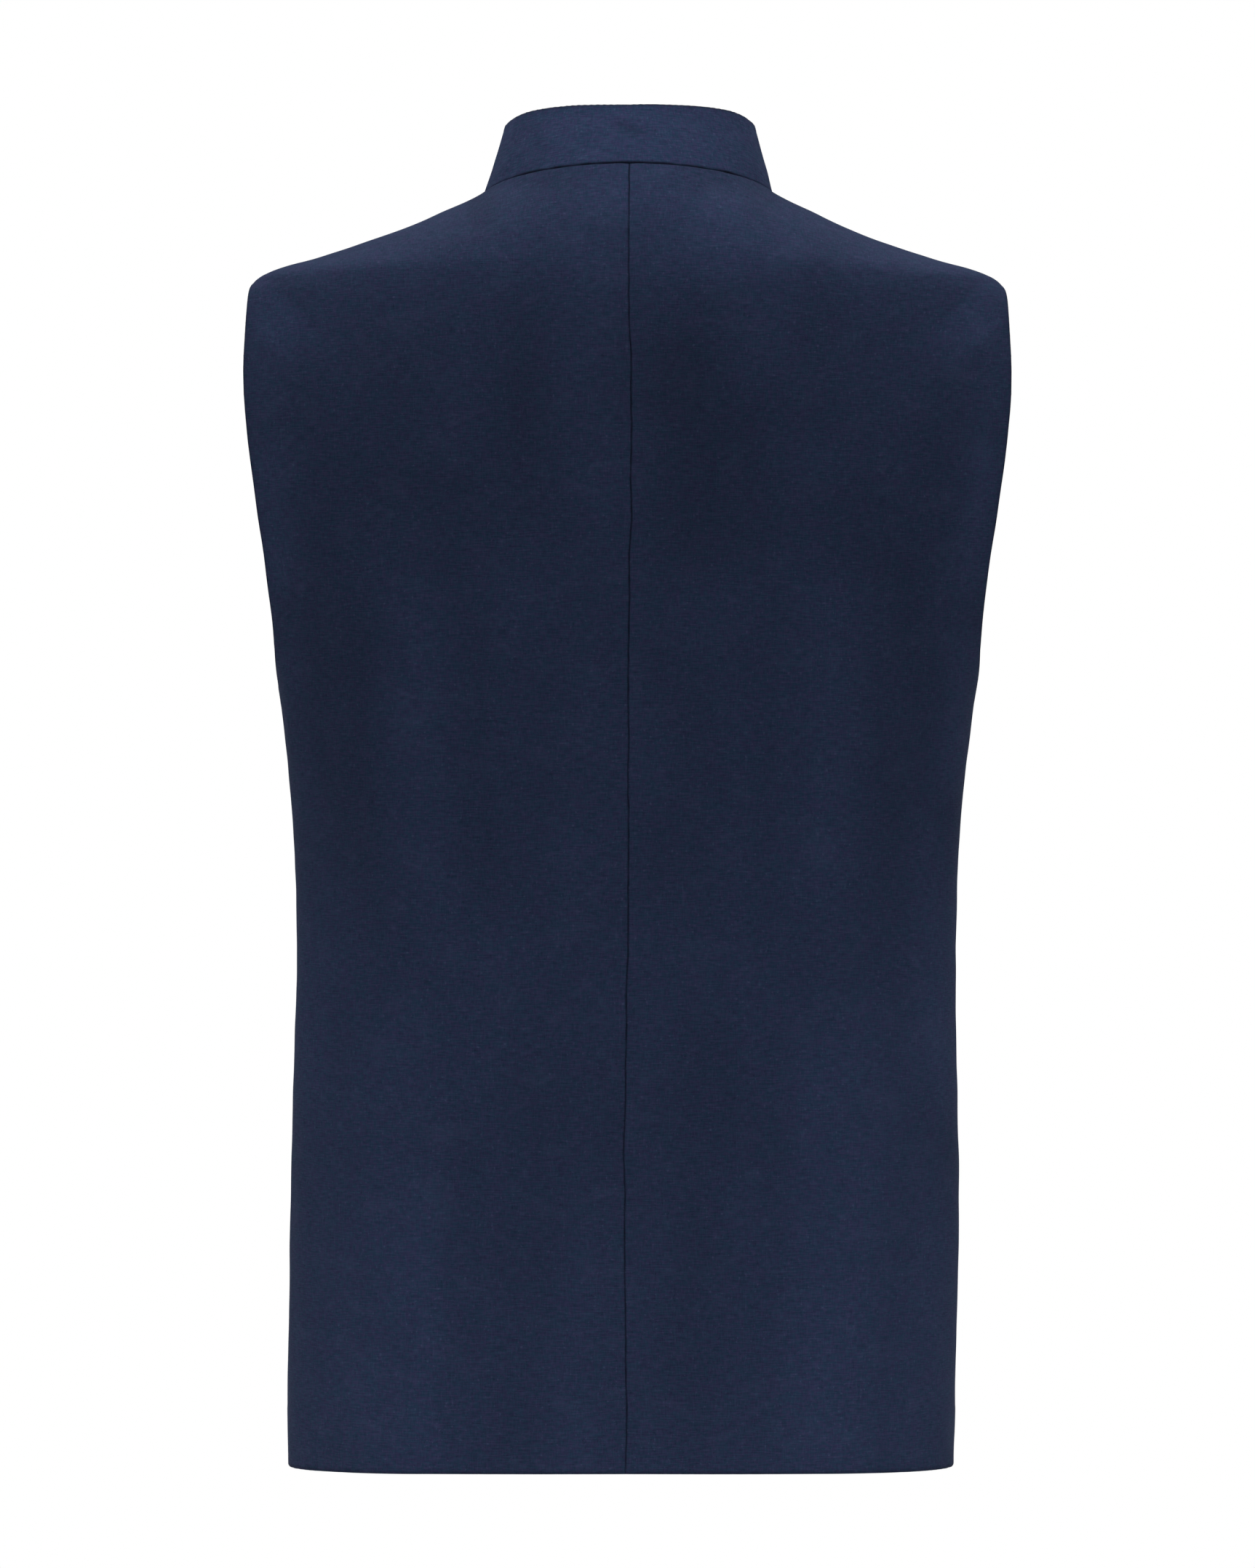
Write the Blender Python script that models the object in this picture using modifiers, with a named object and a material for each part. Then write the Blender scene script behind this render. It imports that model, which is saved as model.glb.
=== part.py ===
"""Sleeveless nehru jacket, filled out as it is worn, with no wearer.

Four panels, a stand collar and five buttons. Every panel is cut from one
smooth body form: a stack of level half rings, back and front, whose half width
and depth come from the tables below. The edges are where a tailor would put
them: centre back, side seam, shoulder seam, neckline, armhole, front edge, hem.

Frame: +Z up, the front faces -Y, the wearer's left is +X. The origin is midway
between the two side neck points, on the shoulder line, where the wearer's
shoulders hold the jacket up. Sizes are in millimetres and turned into metres
when a mesh is made.
"""

import math

import bmesh
import bpy
import numpy as np

NAME = "sleeveless_nehru_jacket"
MM = 0.001

# Walls and gaps
PANEL_WALL = 2.0  # linen with its interlining
COLLAR_WALL = 3.0  # two layers of linen round a stiff interlining
SEAM_HALF_GAP = 0.16  # from the seam's plane to each piece sewn at it
SHOULDER_HALF_GAP = 0.24  # the same at the shoulder, where the cloth bends most
COLLAR_GAP = 0.45  # from the neckline edge to the collar's lower edge
LAP_STEP = 2.55  # how far the under front lies inside the upper front

# Neck
NECK_FRONT = 72.0  # front neck point from the shoulder line
NECK_BACK_Z = 12.0  # back neck point above the side neck points

# Armhole, an oval in side view between the shoulder point and the underarm
TIP_Z = -50.0
UNDERARM_Z = -270.0
ARMHOLE_BACK = 50.0  # how far the oval reaches back from the shoulder line
ARMHOLE_FRONT = 58.0  # and how far forward
ARMHOLE_SCOOP = 0.18  # how much deeper the front is cut low down

# Where the neckline has its points, as angles in plan from the centre back and
# from the centre front to the side neck point
BACK_NECK = (0.0, 2.7, 17.0, 33.0, 50.0, 68.0, 87.5, 90.0)
FRONT_NECK = (0.0, 6.0, 12.0, 23.0, 35.0, 47.0, 60.0, 74.0, 87.5, 90.0)

# Closure and hem
LAP = 20.0  # each front runs this far past the centre front
HEM_Z = -690.5
HEM_BACK_LIFT = 3.2  # the hem rises a little at the centre back
HEM_FRONT_DROP = 3.0  # and falls a little at the centre front
HEM_CORNER = 30.0  # radius of the fronts' lower corners

# Half width at the silhouette: shoulder line, armhole edge, side seam
#        z     half_width
HALF = (
    (20.0, 62.0),
    (14.0, 66.3),
    (10.0, 69.5),
    (5.0, 73.7),
    (0.0, 78.0),
    (-4.6, 86.3),
    (-11.9, 102.1),
    (-18.6, 117.9),
    (-24.5, 133.7),
    (-34.9, 165.3),
    (-44.8, 196.9),
    (-50.0, 203.6),
    (-54.0, 205.0),
    (-63.0, 205.8),
    (-78.5, 206.8),
    (-95.0, 207.3),
    (-111.0, 207.0),
    (-143.0, 204.0),
    (-174.0, 200.2),
    (-205.0, 195.9),
    (-236.0, 191.9),
    (-270.0, 188.6),
    (-300.0, 185.3),
    (-330.0, 182.3),
    (-365.0, 180.0),
    (-415.0, 178.7),
    (-480.0, 179.6),
    (-560.0, 180.7),
    (-640.0, 180.6),
    (-720.0, 179.6),
)

# How much narrower the form is in front, where the armhole is cut further in
#        z     inset
FRONT_INSET = (
    (20.0, 0.0),
    (-46.0, 0.0),
    (-60.0, 6.5),
    (-75.0, 14.5),
    (-100.0, 21.0),
    (-140.0, 24.0),
    (-180.0, 21.0),
    (-220.0, 12.5),
    (-250.0, 4.0),
    (-272.0, 0.0),
    (-720.0, 0.0),
)

# Depth from the shoulder line to the centre back, and the ring's squareness
#        z     depth   power
BACK = (
    (20.0, 59.0, 2.00),
    (12.0, 66.0, 2.00),
    (0.0, 75.0, 2.00),
    (-20.0, 88.0, 1.92),
    (-40.0, 96.5, 1.88),
    (-60.0, 102.0, 1.90),
    (-90.0, 107.0, 2.02),
    (-120.0, 110.5, 2.18),
    (-180.0, 114.5, 2.32),
    (-250.0, 114.5, 2.35),
    (-330.0, 111.0, 2.38),
    (-410.0, 109.5, 2.40),
    (-500.0, 112.5, 2.42),
    (-600.0, 118.0, 2.45),
    (-720.0, 123.0, 2.45),
)

# Depth from the shoulder line to the centre front, and the ring's squareness
#        z     depth   power
FRONT = (
    (20.0, 26.0, 2.00),
    (0.0, 37.0, 2.00),
    (-30.0, 53.0, 1.95),
    (-59.0, 72.0, 1.92),
    (-100.0, 93.0, 2.05),
    (-140.0, 107.5, 2.15),
    (-180.0, 118.0, 2.20),
    (-250.0, 126.0, 2.25),
    (-330.0, 122.5, 2.30),
    (-410.0, 118.5, 2.35),
    (-500.0, 120.0, 2.35),
    (-600.0, 124.0, 2.35),
    (-720.0, 127.0, 2.35),
)

# Soft folds: a ridge lifts the cloth, a trough (negative) sinks it.
# side is +1 on the wearer's left; along is the angle round the body from the
# centre back (0) over the side seam (90) to the centre front (180), at its
# upper and lower ends; width is the half width across, in degrees.
#   side  along_up  along_low  z_up   z_low  width  lift
FOLDS = (
    (+1, 43.0, 38.0, -190.0, -690.0, 7.0, 2.2),
    (+1, 27.0, 29.0, -400.0, -690.0, 5.0, -1.8),
    (+1, 62.0, 58.0, -120.0, -400.0, 8.0, -1.6),
    (+1, 12.0, 14.0, -430.0, -680.0, 6.0, -0.9),
    (-1, 42.0, 39.0, -200.0, -610.0, 7.0, 2.0),
    (-1, 28.0, 28.0, -430.0, -690.0, 5.0, -1.6),
    (-1, 60.0, 57.0, -130.0, -410.0, 8.0, -1.7),
    (-1, 14.0, 10.0, -110.0, -250.0, 8.0, -1.5),
    (+1, 118.0, 122.0, -260.0, -690.0, 8.0, 2.0),
    (-1, 117.0, 121.0, -290.0, -690.0, 8.0, 1.9),
    (+1, 140.0, 136.0, -330.0, -690.0, 7.0, -1.5),
    (-1, 139.0, 137.0, -300.0, -640.0, 7.0, -1.6),
)

# How the worn jacket hangs off true, in x: its sides, and its centre back seam
#        z     sides  seam
SWAY = (
    (50.0, -1.7, -1.7),
    (12.0, -0.9, -0.9),
    (-14.0, 0.0, -0.7),
    (-60.0, 0.0, -0.6),
    (-100.0, 0.2, -1.5),
    (-140.0, 0.2, -2.1),
    (-200.0, 0.2, -1.35),
    (-260.0, 0.3, -0.3),
    (-340.0, 0.5, -0.5),
    (-430.0, 0.9, 0.1),
    (-485.0, 1.2, 1.0),
    (-545.0, 1.5, 1.7),
    (-605.0, 2.1, 1.1),
    (-650.0, 2.8, 0.7),
    (-700.0, 3.4, 1.5),
)

RIGHT_SHOULDER_DROP = 1.2  # the wearer's right shoulder hangs a little lower

# Collar, outer face: how far its top edge stands in from the neckline and
# above it. around is the angle from the centre back (0) to the front (180).
#   around  lean_in  rise
COLLAR = (
    (0.0, 16.0, 32.2),
    (15.0, 15.1, 32.7),
    (30.0, 14.1, 33.8),
    (45.0, 13.2, 35.1),
    (70.0, 11.6, 37.0),
    (90.0, 11.0, 37.0),
    (120.0, 9.0, 35.6),
    (150.0, 5.5, 33.6),
    (180.0, 3.5, 32.4),
)
COLLAR_END = 2.0  # half the space between the collar's ends
COLLAR_CORNER = 16.0  # radius of its front corners

# Buttons on the centre front, from the top
BUTTONS_Z = (-88.0, -190.0, -292.0, -394.0, -496.0)
BUTTON_R = 7.5
BUTTON_THICK = 2.8
BUTTON_GAP = 0.35
HOLE_R = 0.9
HOLE_OFF = 1.6  # each hole from the button's middle, along both axes
#            radius  height
BUTTON_PROFILE = (
    (0.0, 1.9),
    (4.4, 1.9),
    (5.3, 2.5),
    (6.4, 2.8),
    (7.2, 2.4),
    (7.5, 1.5),
    (7.0, 0.5),
    (5.6, 0.0),
    (0.0, 0.0),
)

NAVY = (0.0149, 0.0208, 0.0437)
BUTTON_NAVY = (0.0110, 0.0130, 0.0210)


# ---------------------------------------------------------------- curves


def blurred(value, samples):
    """Evenly spaced values, eased by a bell of this many samples."""
    reach = int(3 * samples)
    bell = np.exp(-0.5 * (np.arange(-reach, reach + 1) / samples) ** 2)
    ends = np.arange(1, reach + 1)
    before = value[0] - (value[1] - value[0]) * ends[::-1]
    after = value[-1] + (value[-1] - value[-2]) * ends
    padded = np.concatenate([before, value, after])
    return np.convolve(padded, bell / bell.sum(), "valid")


def column(table, index, blur):
    """A table's column as a smooth function of its first one: a monotone cubic
    through its rows, eased over the distance blur."""
    rows = sorted(table)
    x = np.array([r[0] for r in rows])
    y = np.array([r[index] for r in rows])
    step, slope = np.diff(x), np.diff(y) / np.diff(x)
    m = np.zeros(len(x))
    m[0], m[-1] = slope[0], slope[-1]
    for i in range(1, len(x) - 1):
        if slope[i - 1] * slope[i] > 0:
            w1, w2 = 2 * step[i] + step[i - 1], step[i] + 2 * step[i - 1]
            m[i] = (w1 + w2) / (w1 / slope[i - 1] + w2 / slope[i])
    fine = np.arange(x[0], x[-1] + 0.25, 0.5)
    k = np.clip(np.searchsorted(x, fine) - 1, 0, len(step) - 1)
    t = (fine - x[k]) / step[k]
    value = (
        y[k] * (1 + 2 * t) * (1 - t) ** 2
        + y[k + 1] * t * t * (3 - 2 * t)
        + step[k] * (m[k] * t * (1 - t) ** 2 - m[k + 1] * t * t * (1 - t))
    )
    value = blurred(value, 2 * blur)
    return lambda z: np.interp(z, fine, value)


half_at = column(HALF, 1, 1.6)
front_inset = column(FRONT_INSET, 1, 4.0)
back_depth, back_power = column(BACK, 1, 8.0), column(BACK, 2, 12.0)
front_depth, front_power = column(FRONT, 1, 8.0), column(FRONT, 2, 12.0)
lean_at, rise_at = column(COLLAR, 1, 4.0), column(COLLAR, 2, 4.0)
sway_sides, sway_seam = column(SWAY, 1, 8.0), column(SWAY, 2, 8.0)
NECK_HALF = float(half_at(0.0))  # side neck point from the middle


def ease(t):
    t = np.clip(t, 0.0, 1.0)
    return t * t * (3 - 2 * t)


def armhole_reach(z, front):
    """How far the armhole edge is from the shoulder line's plane at height z,
    and 0 above the shoulder point and below the underarm."""
    q = (z - (TIP_Z + UNDERARM_Z) / 2) / ((TIP_Z - UNDERARM_Z) / 2)
    oval = np.sqrt(np.clip(1 - q * q, 0, 1))
    if front:
        return ARMHOLE_FRONT * oval * (1 - ARMHOLE_SCOOP * np.clip(q, -1, 1))
    return ARMHOLE_BACK * oval


def form_half():
    """The form's half width at each height. Between the shoulder point and the
    underarm it is what makes the back's ring pass through the armhole edge,
    and it runs on smoothly below the underarm."""
    z = np.arange(-720.0, 20.25, 0.5)
    share = (armhole_reach(z, False) / back_depth(z)) ** back_power(z)
    half = half_at(z) / (1 - share) ** (1 / back_power(z))
    soft = blurred(half, 24)
    half = half + (soft - half) * ease((-200.0 - z) / 45.0)
    return lambda level: np.interp(level, z, half)


form_half_at = form_half()


def ring(z, front):
    """Half width, depth and power of the half ring at height z."""
    half = form_half_at(z)
    if front:
        return half - front_inset(z), front_depth(z), front_power(z)
    return half, back_depth(z), back_power(z)


def on_ring(phi, z, front):
    """The form's point at angle phi from the middle of the back or front."""
    half, depth, power = ring(z, front)
    s, c = np.sin(phi), np.cos(phi)
    k = (np.abs(s) ** power + np.abs(c) ** power) ** (-1 / power)
    y = depth * c * k
    return np.stack([half * s * k, -y if front else y, z], -1)


def outward(phi, z, front):
    """The form's unit normal, pointing out."""
    d = 1e-3
    across = on_ring(phi + d, z, front) - on_ring(phi - d, z, front)
    up = on_ring(phi, z + 0.2, front) - on_ring(phi, z - 0.2, front)
    n = np.cross(up, across) if front else np.cross(across, up)
    n *= -1
    return n / np.linalg.norm(n, axis=-1, keepdims=True)


def fold_lift(phi, z, front, side):
    """How far the folds move the cloth out."""
    along = np.degrees(np.abs(phi))
    along = 180 - along if front else along
    lift = np.zeros(np.shape(z))
    for row_side, up, low, z_up, z_low, width, height in FOLDS:
        if row_side != side:
            continue
        t = (z_up - z) / (z_up - z_low)
        middle = up + (low - up) * np.clip(t, 0, 1)
        fade = ease(t / 0.35) * (1.0 if z_low < -680 else ease((1 - t) / 0.35))
        lift += height * fade * np.exp(-0.5 * ((along - middle) / width) ** 2)
    return lift * ease((90 - np.abs(90 - along)) / 12.0)


def settled(p):
    """Points moved to where the worn jacket hangs."""
    x, y, z = p[..., 0], p[..., 1], p[..., 2]
    near_seam = np.exp(-((x / 70.0) ** 2)) * ease(y / 40.0)
    sides, seam = sway_sides(z), sway_seam(z)
    shift = sides + (seam - sides) * near_seam
    drop = RIGHT_SHOULDER_DROP * ease((-85.0 - x) / 50.0) * ease((z + 110.0) / 50.0)
    return p + np.stack([shift, 0 * shift, -drop], -1)


def cloth(phi, z, front, side, sunk=0.0):
    """The outer face of the cloth, for the wearer's left (side +1) or right."""
    lift = fold_lift(phi, z, front, side) - sunk
    p = on_ring(phi, z, front) + lift[..., None] * outward(phi, z, front)
    return settled(p * [side, 1, 1])


def angle_at(x, z, front):
    """The angle at which the ring at height z is x from the middle."""
    half, _, power = ring(z, front)
    t = np.clip(np.abs(x) / half, 0, 1)
    return np.sign(x) * np.arctan2(t, (1 - t**power) ** (1 / power))


def last_angle(z, front):
    """The angle of the side seam, shoulder seam or armhole edge."""
    _, depth, power = ring(z, front)
    gap = np.where(z >= TIP_Z, SHOULDER_HALF_GAP, SEAM_HALF_GAP)
    t = np.maximum(armhole_reach(z, front), gap) / depth
    return np.arctan2((1 - t**power) ** (1 / power), t)


def neck_at(plan, front):
    """Angle and height on the form where the neckline is, for an angle in plan
    from the middle. The front one is where the form meets the neck's oval."""
    plan = np.asarray(plan, float)
    if not front:
        return plan, NECK_BACK_Z * np.cos(plan)
    x, y = NECK_HALF * np.sin(plan), NECK_FRONT * np.cos(plan)
    low, high = np.full(plan.shape, -75.0), np.full(plan.shape, 0.0)
    for _ in range(40):
        z = (low + high) / 2
        half, depth, power = ring(z, True)
        within = (x / half) ** power + (y / depth) ** power < 1
        low, high = np.where(within, z, low), np.where(within, high, z)
    half, depth = ring(z, True)[:2]
    return np.arctan2(x / half, y / depth), z


def hem_shift(phi, z, front):
    """The lowest part of a panel follows the hem's slight bow."""
    bow = -HEM_FRONT_DROP if front else HEM_BACK_LIFT
    return bow * np.cos(phi) ** 2 * ease((-480.0 - z) / 200.0)


# ---------------------------------------------------------------- panels


def shares(front, lap, neck, shoulder_steps, lap_steps):
    """The columns of a panel, from its middle edge to its side: each one's
    share of the way round, and where its top lies. The narrow columns keep the
    wall square at the centre back and side seams."""
    along_lap = np.linspace(0, 1, lap_steps + 1)[:-1] if lap else np.zeros(0)
    along_neck = np.array(neck[:-1]) / 90.0
    along_shoulder = np.append(np.linspace(0, 0.978, shoulder_steps + 1), 1.0)
    lap_share = 0.07 if lap else 0.0
    neck_share = 0.47 if front else 0.41
    share = np.concatenate(
        [
            lap_share * along_lap,
            lap_share + (neck_share - lap_share) * along_neck,
            neck_share + (1 - neck_share) * along_shoulder,
        ]
    )
    return share, along_lap, along_neck, along_shoulder


def top_path(front, lap, along_lap, along_neck, along_shoulder):
    """Angle and height of each column's top: overlap, neckline, shoulder."""
    neck_phi, neck_z = neck_at(along_neck * math.pi / 2, front)
    if not lap:
        neck_phi = np.maximum(neck_phi, angle_at(SEAM_HALF_GAP, neck_z, front))
    x = NECK_HALF + (half_at(TIP_Z) - NECK_HALF) * along_shoulder
    levels = np.linspace(0.0, TIP_Z, 400)
    shoulder_z = np.interp(x, half_at(levels), levels)
    shoulder_phi = last_angle(shoulder_z, front)
    neck_phi = np.minimum(neck_phi, shoulder_phi[0])
    lap_z = np.full(len(along_lap), neck_z[0])
    lap_phi = angle_at(-LAP * (1 - along_lap), lap_z, front)
    return (
        np.concatenate([lap_phi, neck_phi, shoulder_phi]),
        np.concatenate([lap_z, neck_z, shoulder_z]),
    )


def panel_net(front, lap, columns, yoke, rows):
    """Angles and heights of a panel's points, row by row from its top edge.
    yoke is the share of the way down from the top edge to rows[0], which is
    the first level row."""
    share, *parts = columns
    top_phi, top_z = top_path(front, lap, *parts)

    def first_angle(z):
        return angle_at(-LAP if lap else SEAM_HALF_GAP, z, front)

    # Columns are spread by length round the ring at the shoulder blades
    fine = np.linspace(0, 1, 400)
    at = np.full(400, -200.0)
    low, high = first_angle(at[:1])[0], math.pi / 2
    p = on_ring(low + (high - low) * fine, at, front)
    far = np.append(0, np.cumsum(np.linalg.norm(np.diff(p, axis=0), axis=1)))
    turn = np.interp(share, far / far[-1], fine)

    def level(z):
        z = np.full(len(share), float(z))
        first = first_angle(z)
        return first + (last_angle(z, front) - first) * turn, z

    base_phi, base_z = level(rows[0])
    net = []
    for w in yoke:
        # The armhole edge leaves the shoulder point steeply
        down = w + (w * w - w) * share**6
        z = top_z + (base_z - top_z) * down
        phi = top_phi + (base_phi - top_phi) * w
        true_end = last_angle(z[-1:], front)[0]
        true_start = first_angle(z[:1])[0]
        phi = phi + (true_end - phi[-1]) * share**4
        phi = phi + (true_start - phi[0]) * (1 - share) ** 12
        net.append((phi, z))
    net += [level(z) for z in rows[1:]]
    phi, z = (np.array([row[i] for row in net]) for i in (0, 1))
    z = z + hem_shift(phi, z, front)
    return phi, z


def round_corner(phi, z, front):
    """Lifts the hem beside the front edge to a rounded corner."""
    x = on_ring(phi, z, front)[..., 0] + LAP
    d = np.clip(x, 0, HEM_CORNER)
    arc = HEM_CORNER - np.sqrt(HEM_CORNER**2 - (HEM_CORNER - d) ** 2)
    near = ease((z - (HEM_Z + 140.0)) / -140.0)
    return z + arc * near * (x < HEM_CORNER)


def grid_object(name, points, flip, wall, material, collection):
    """An open surface over a grid of points, given its wall by Solidify."""
    rows, cols = points.shape[:2]
    bm = bmesh.new()
    verts = [[bm.verts.new(p * MM) for p in row] for row in points]
    for i in range(rows - 1):
        for j in range(cols - 1):
            quad = [
                verts[i][j],
                verts[i + 1][j],
                verts[i + 1][j + 1],
                verts[i][j + 1],
            ]
            bm.faces.new(quad[::-1] if flip else quad).smooth = True
    mesh = bpy.data.meshes.new(name)
    bm.to_mesh(mesh)
    bm.free()
    mesh.materials.append(material)
    obj = bpy.data.objects.new(name, mesh)
    collection.objects.link(obj)
    shell = obj.modifiers.new("wall", "SOLIDIFY")
    shell.thickness = wall * MM
    shell.offset = -1.0
    shell.use_even_offset = True
    shell.use_rim = True
    return obj


YOKE_ROWS = (0.0, 0.022, 0.17, 0.36, 0.57, 0.79, 1.0)
ARMHOLE_ROWS = (-110, -140, -172, -202, -228, -248, -261, -268)
BODY_ROWS = (-300, -334, -370, -408, -448, -490, -530, -570, -610, -646)


def make_back(name, side, material, collection):
    columns = shares(False, False, BACK_NECK, 7, 0)
    rows = (-80.0, *ARMHOLE_ROWS, UNDERARM_Z, *BODY_ROWS, HEM_Z)
    phi, z = panel_net(False, False, columns, YOKE_ROWS, rows)
    points = cloth(phi, z, False, side)
    return grid_object(name, points, side > 0, PANEL_WALL, material, collection)


def front_net():
    columns = shares(True, True, FRONT_NECK, 7, 3)
    rows = (-100.0, *ARMHOLE_ROWS[1:], UNDERARM_Z, *BODY_ROWS, HEM_Z + 12, HEM_Z)
    phi, z = panel_net(True, True, columns, YOKE_ROWS, rows)
    return phi, round_corner(phi, z, True)


def lap_sink(phi, z):
    """The under front steps in where the upper front covers it."""
    x = on_ring(phi, z, True)[..., 0]
    return LAP_STEP * ease((LAP + 26.0 - x) / 22.0)


def make_front(name, side, material, collection):
    phi, z = front_net()
    sunk = lap_sink(phi, z) if side < 0 else 0.0
    points = cloth(phi, z, True, side, sunk)
    return grid_object(name, points, side < 0, PANEL_WALL, material, collection)


# ---------------------------------------------------------------- collar


def neckline(around):
    """The neckline at an angle in plan from the centre back, on the left."""
    around = np.asarray(around, float)
    phi_b, z_b = neck_at(np.radians(np.minimum(around, 90.0)), False)
    phi_f, z_f = neck_at(np.radians(np.minimum(180.0 - around, 90.0)), True)
    back, front = on_ring(phi_b, z_b, False), on_ring(phi_f, z_f, True)
    return np.where((around <= 90.0)[..., None], back, front)


NECK_ANGLES = np.array([*BACK_NECK[:-1], *(180.0 - np.array(FRONT_NECK[::-1]))])
NECK_POINTS = neckline(NECK_ANGLES)


def neck_edge(around):
    """The panels' own neckline edge, straight between its points."""
    flat = [np.interp(around, NECK_ANGLES, NECK_POINTS[:, i]) for i in range(3)]
    return np.stack(flat, -1)


def collar_face(around, height):
    """The collar's outer face: height runs from 0 at the seam to 1 at the top.
    around is signed, positive on the wearer's left."""
    a = np.abs(around)
    flow = neckline(np.minimum(a + 0.5, 180.0)) - neckline(np.maximum(a - 0.5, 0.0))
    inward = np.stack([flow[..., 1], -flow[..., 0], np.zeros(a.shape)], -1)
    inward /= np.linalg.norm(inward, axis=-1, keepdims=True)
    p = neck_edge(a) + (lean_at(a) * height)[..., None] * inward
    p[..., 2] += COLLAR_GAP + rise_at(a) * height
    p[..., 0] *= np.where(around < 0, -1.0, 1.0)
    return settled(p)


def collar_columns():
    """Angles of the collar's columns, closer at its rounded front ends, and
    how far each one is from its end."""
    fine = np.linspace(90.0, 180.0, 2000)
    x = neck_edge(fine)[:, 0]
    turns = np.linspace(0, math.pi / 2, 6)
    ends = np.interp(
        -(COLLAR_END + COLLAR_CORNER * (1 - np.cos(turns))), -x, fine
    )
    half = np.unique(
        np.round(np.append(NECK_ANGLES[NECK_ANGLES < ends[0] - 0.5], ends), 4)
    )
    gone = np.clip(neck_edge(half)[:, 0] - COLLAR_END, 0, COLLAR_CORNER)
    gone[half < 120.0] = COLLAR_CORNER
    return (
        np.concatenate([-half[:0:-1], half]),
        np.concatenate([gone[:0:-1], gone]),
    )


def make_collar(name, material, collection):
    around, distance = collar_columns()
    slant = np.hypot(lean_at(np.abs(around)), rise_at(np.abs(around)))
    cut = COLLAR_CORNER - np.sqrt(
        np.maximum(COLLAR_CORNER**2 - (COLLAR_CORNER - distance) ** 2, 0)
    )
    top = 1 - cut / slant
    rows = [collar_face(around, top * h) for h in (1.0, 0.66, 0.33, 0.0)]
    points = np.stack(rows)
    return grid_object(name, points, True, COLLAR_WALL, material, collection)


# ---------------------------------------------------------------- buttons


def hole_cutter(collection):
    """Four pins that bore the thread holes."""
    bm = bmesh.new()
    for sx in (-1, 1):
        for sy in (-1, 1):
            made = bmesh.ops.create_cone(
                bm,
                cap_ends=True,
                segments=10,
                radius1=HOLE_R * MM,
                radius2=HOLE_R * MM,
                depth=8 * MM,
            )
            bmesh.ops.translate(
                bm, verts=made["verts"], vec=(sx * HOLE_OFF * MM, sy * HOLE_OFF * MM, 0)
            )
    mesh = bpy.data.meshes.new("thread_holes")
    bm.to_mesh(mesh)
    bm.free()
    obj = bpy.data.objects.new("thread_holes", mesh)
    obj.hide_render = True
    obj.display_type = "WIRE"
    collection.objects.link(obj)
    return obj


def make_button(name, z, material, collection, cutters):
    """A turned button with a raised rim, standing just off the upper front."""
    mesh = bpy.data.meshes.new(name)
    profile = [(r * MM, 0.0, h * MM) for r, h in BUTTON_PROFILE]
    mesh.from_pydata(profile, [(i, i + 1) for i in range(len(profile) - 1)], [])
    mesh.materials.append(material)
    obj = bpy.data.objects.new(name, mesh)
    collection.objects.link(obj)
    turn = obj.modifiers.new("turn", "SCREW")
    turn.steps = turn.render_steps = 28
    turn.use_merge_vertices = True
    turn.merge_threshold = 1e-5
    turn.use_smooth_shade = True
    at = np.array([float(z)])
    middle = np.zeros(1)
    point = cloth(middle, at, True, 1)[0]
    normal = outward(middle, at, True)[0]
    obj.location = (point + BUTTON_GAP * normal) * MM
    obj.rotation_euler = (math.atan2(math.hypot(normal[0], normal[1]), normal[2]), 0, 0)
    cutter = hole_cutter(cutters)
    cutter.name = name + "_holes"
    cutter.parent = obj
    bore = obj.modifiers.new("holes", "BOOLEAN")
    bore.operation = "DIFFERENCE"
    bore.object = cutter
    return obj


# ---------------------------------------------------------------- assembly


def plain_material(name, colour, roughness):
    material = bpy.data.materials.new(name)
    material.use_nodes = True
    shader = material.node_tree.nodes["Principled BSDF"]
    shader.inputs["Base Color"].default_value = (*colour, 1)
    shader.inputs["Roughness"].default_value = roughness
    shader.inputs["Metallic"].default_value = 0.0
    material.diffuse_color = (*colour, 1)
    return material


def main():
    for obj in list(bpy.data.objects):
        bpy.data.objects.remove(obj, do_unlink=True)
    jacket = bpy.data.collections.new(NAME)
    cutters = bpy.data.collections.new("cutters")
    bpy.context.scene.collection.children.link(jacket)
    bpy.context.scene.collection.children.link(cutters)
    shoulders = bpy.data.objects.new("wearer_shoulders", None)
    jacket.objects.link(shoulders)

    linen = plain_material("navy_linen", NAVY, 0.85)
    button = plain_material("button_navy", BUTTON_NAVY, 0.35)
    pieces = [
        make_back("back_left", 1, linen, jacket),
        make_back("back_right", -1, linen, jacket),
        make_front("front_left", 1, linen, jacket),
        make_front("front_right", -1, linen, jacket),
        make_collar("collar", linen, jacket),
    ]
    for i, z in enumerate(BUTTONS_Z, 1):
        pieces.append(make_button(f"button_{i}", z, button, jacket, cutters))
    for piece in pieces:
        piece.parent = shoulders


main()
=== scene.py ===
"""The sleeveless nehru jacket's visible cloth, buttons and stitching, built
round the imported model, with its studio, lights and camera.

Frame: +Z up, the front faces -Y, the wearer's left is +X, origin midway between
the side neck points. Shapes are worked out in millimetres, and MM turns them
into metres. The form's tables and functions are the ones that the model uses.
"""

import math

import bmesh
import bpy
import numpy as np
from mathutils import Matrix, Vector, bvhtree, kdtree


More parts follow.
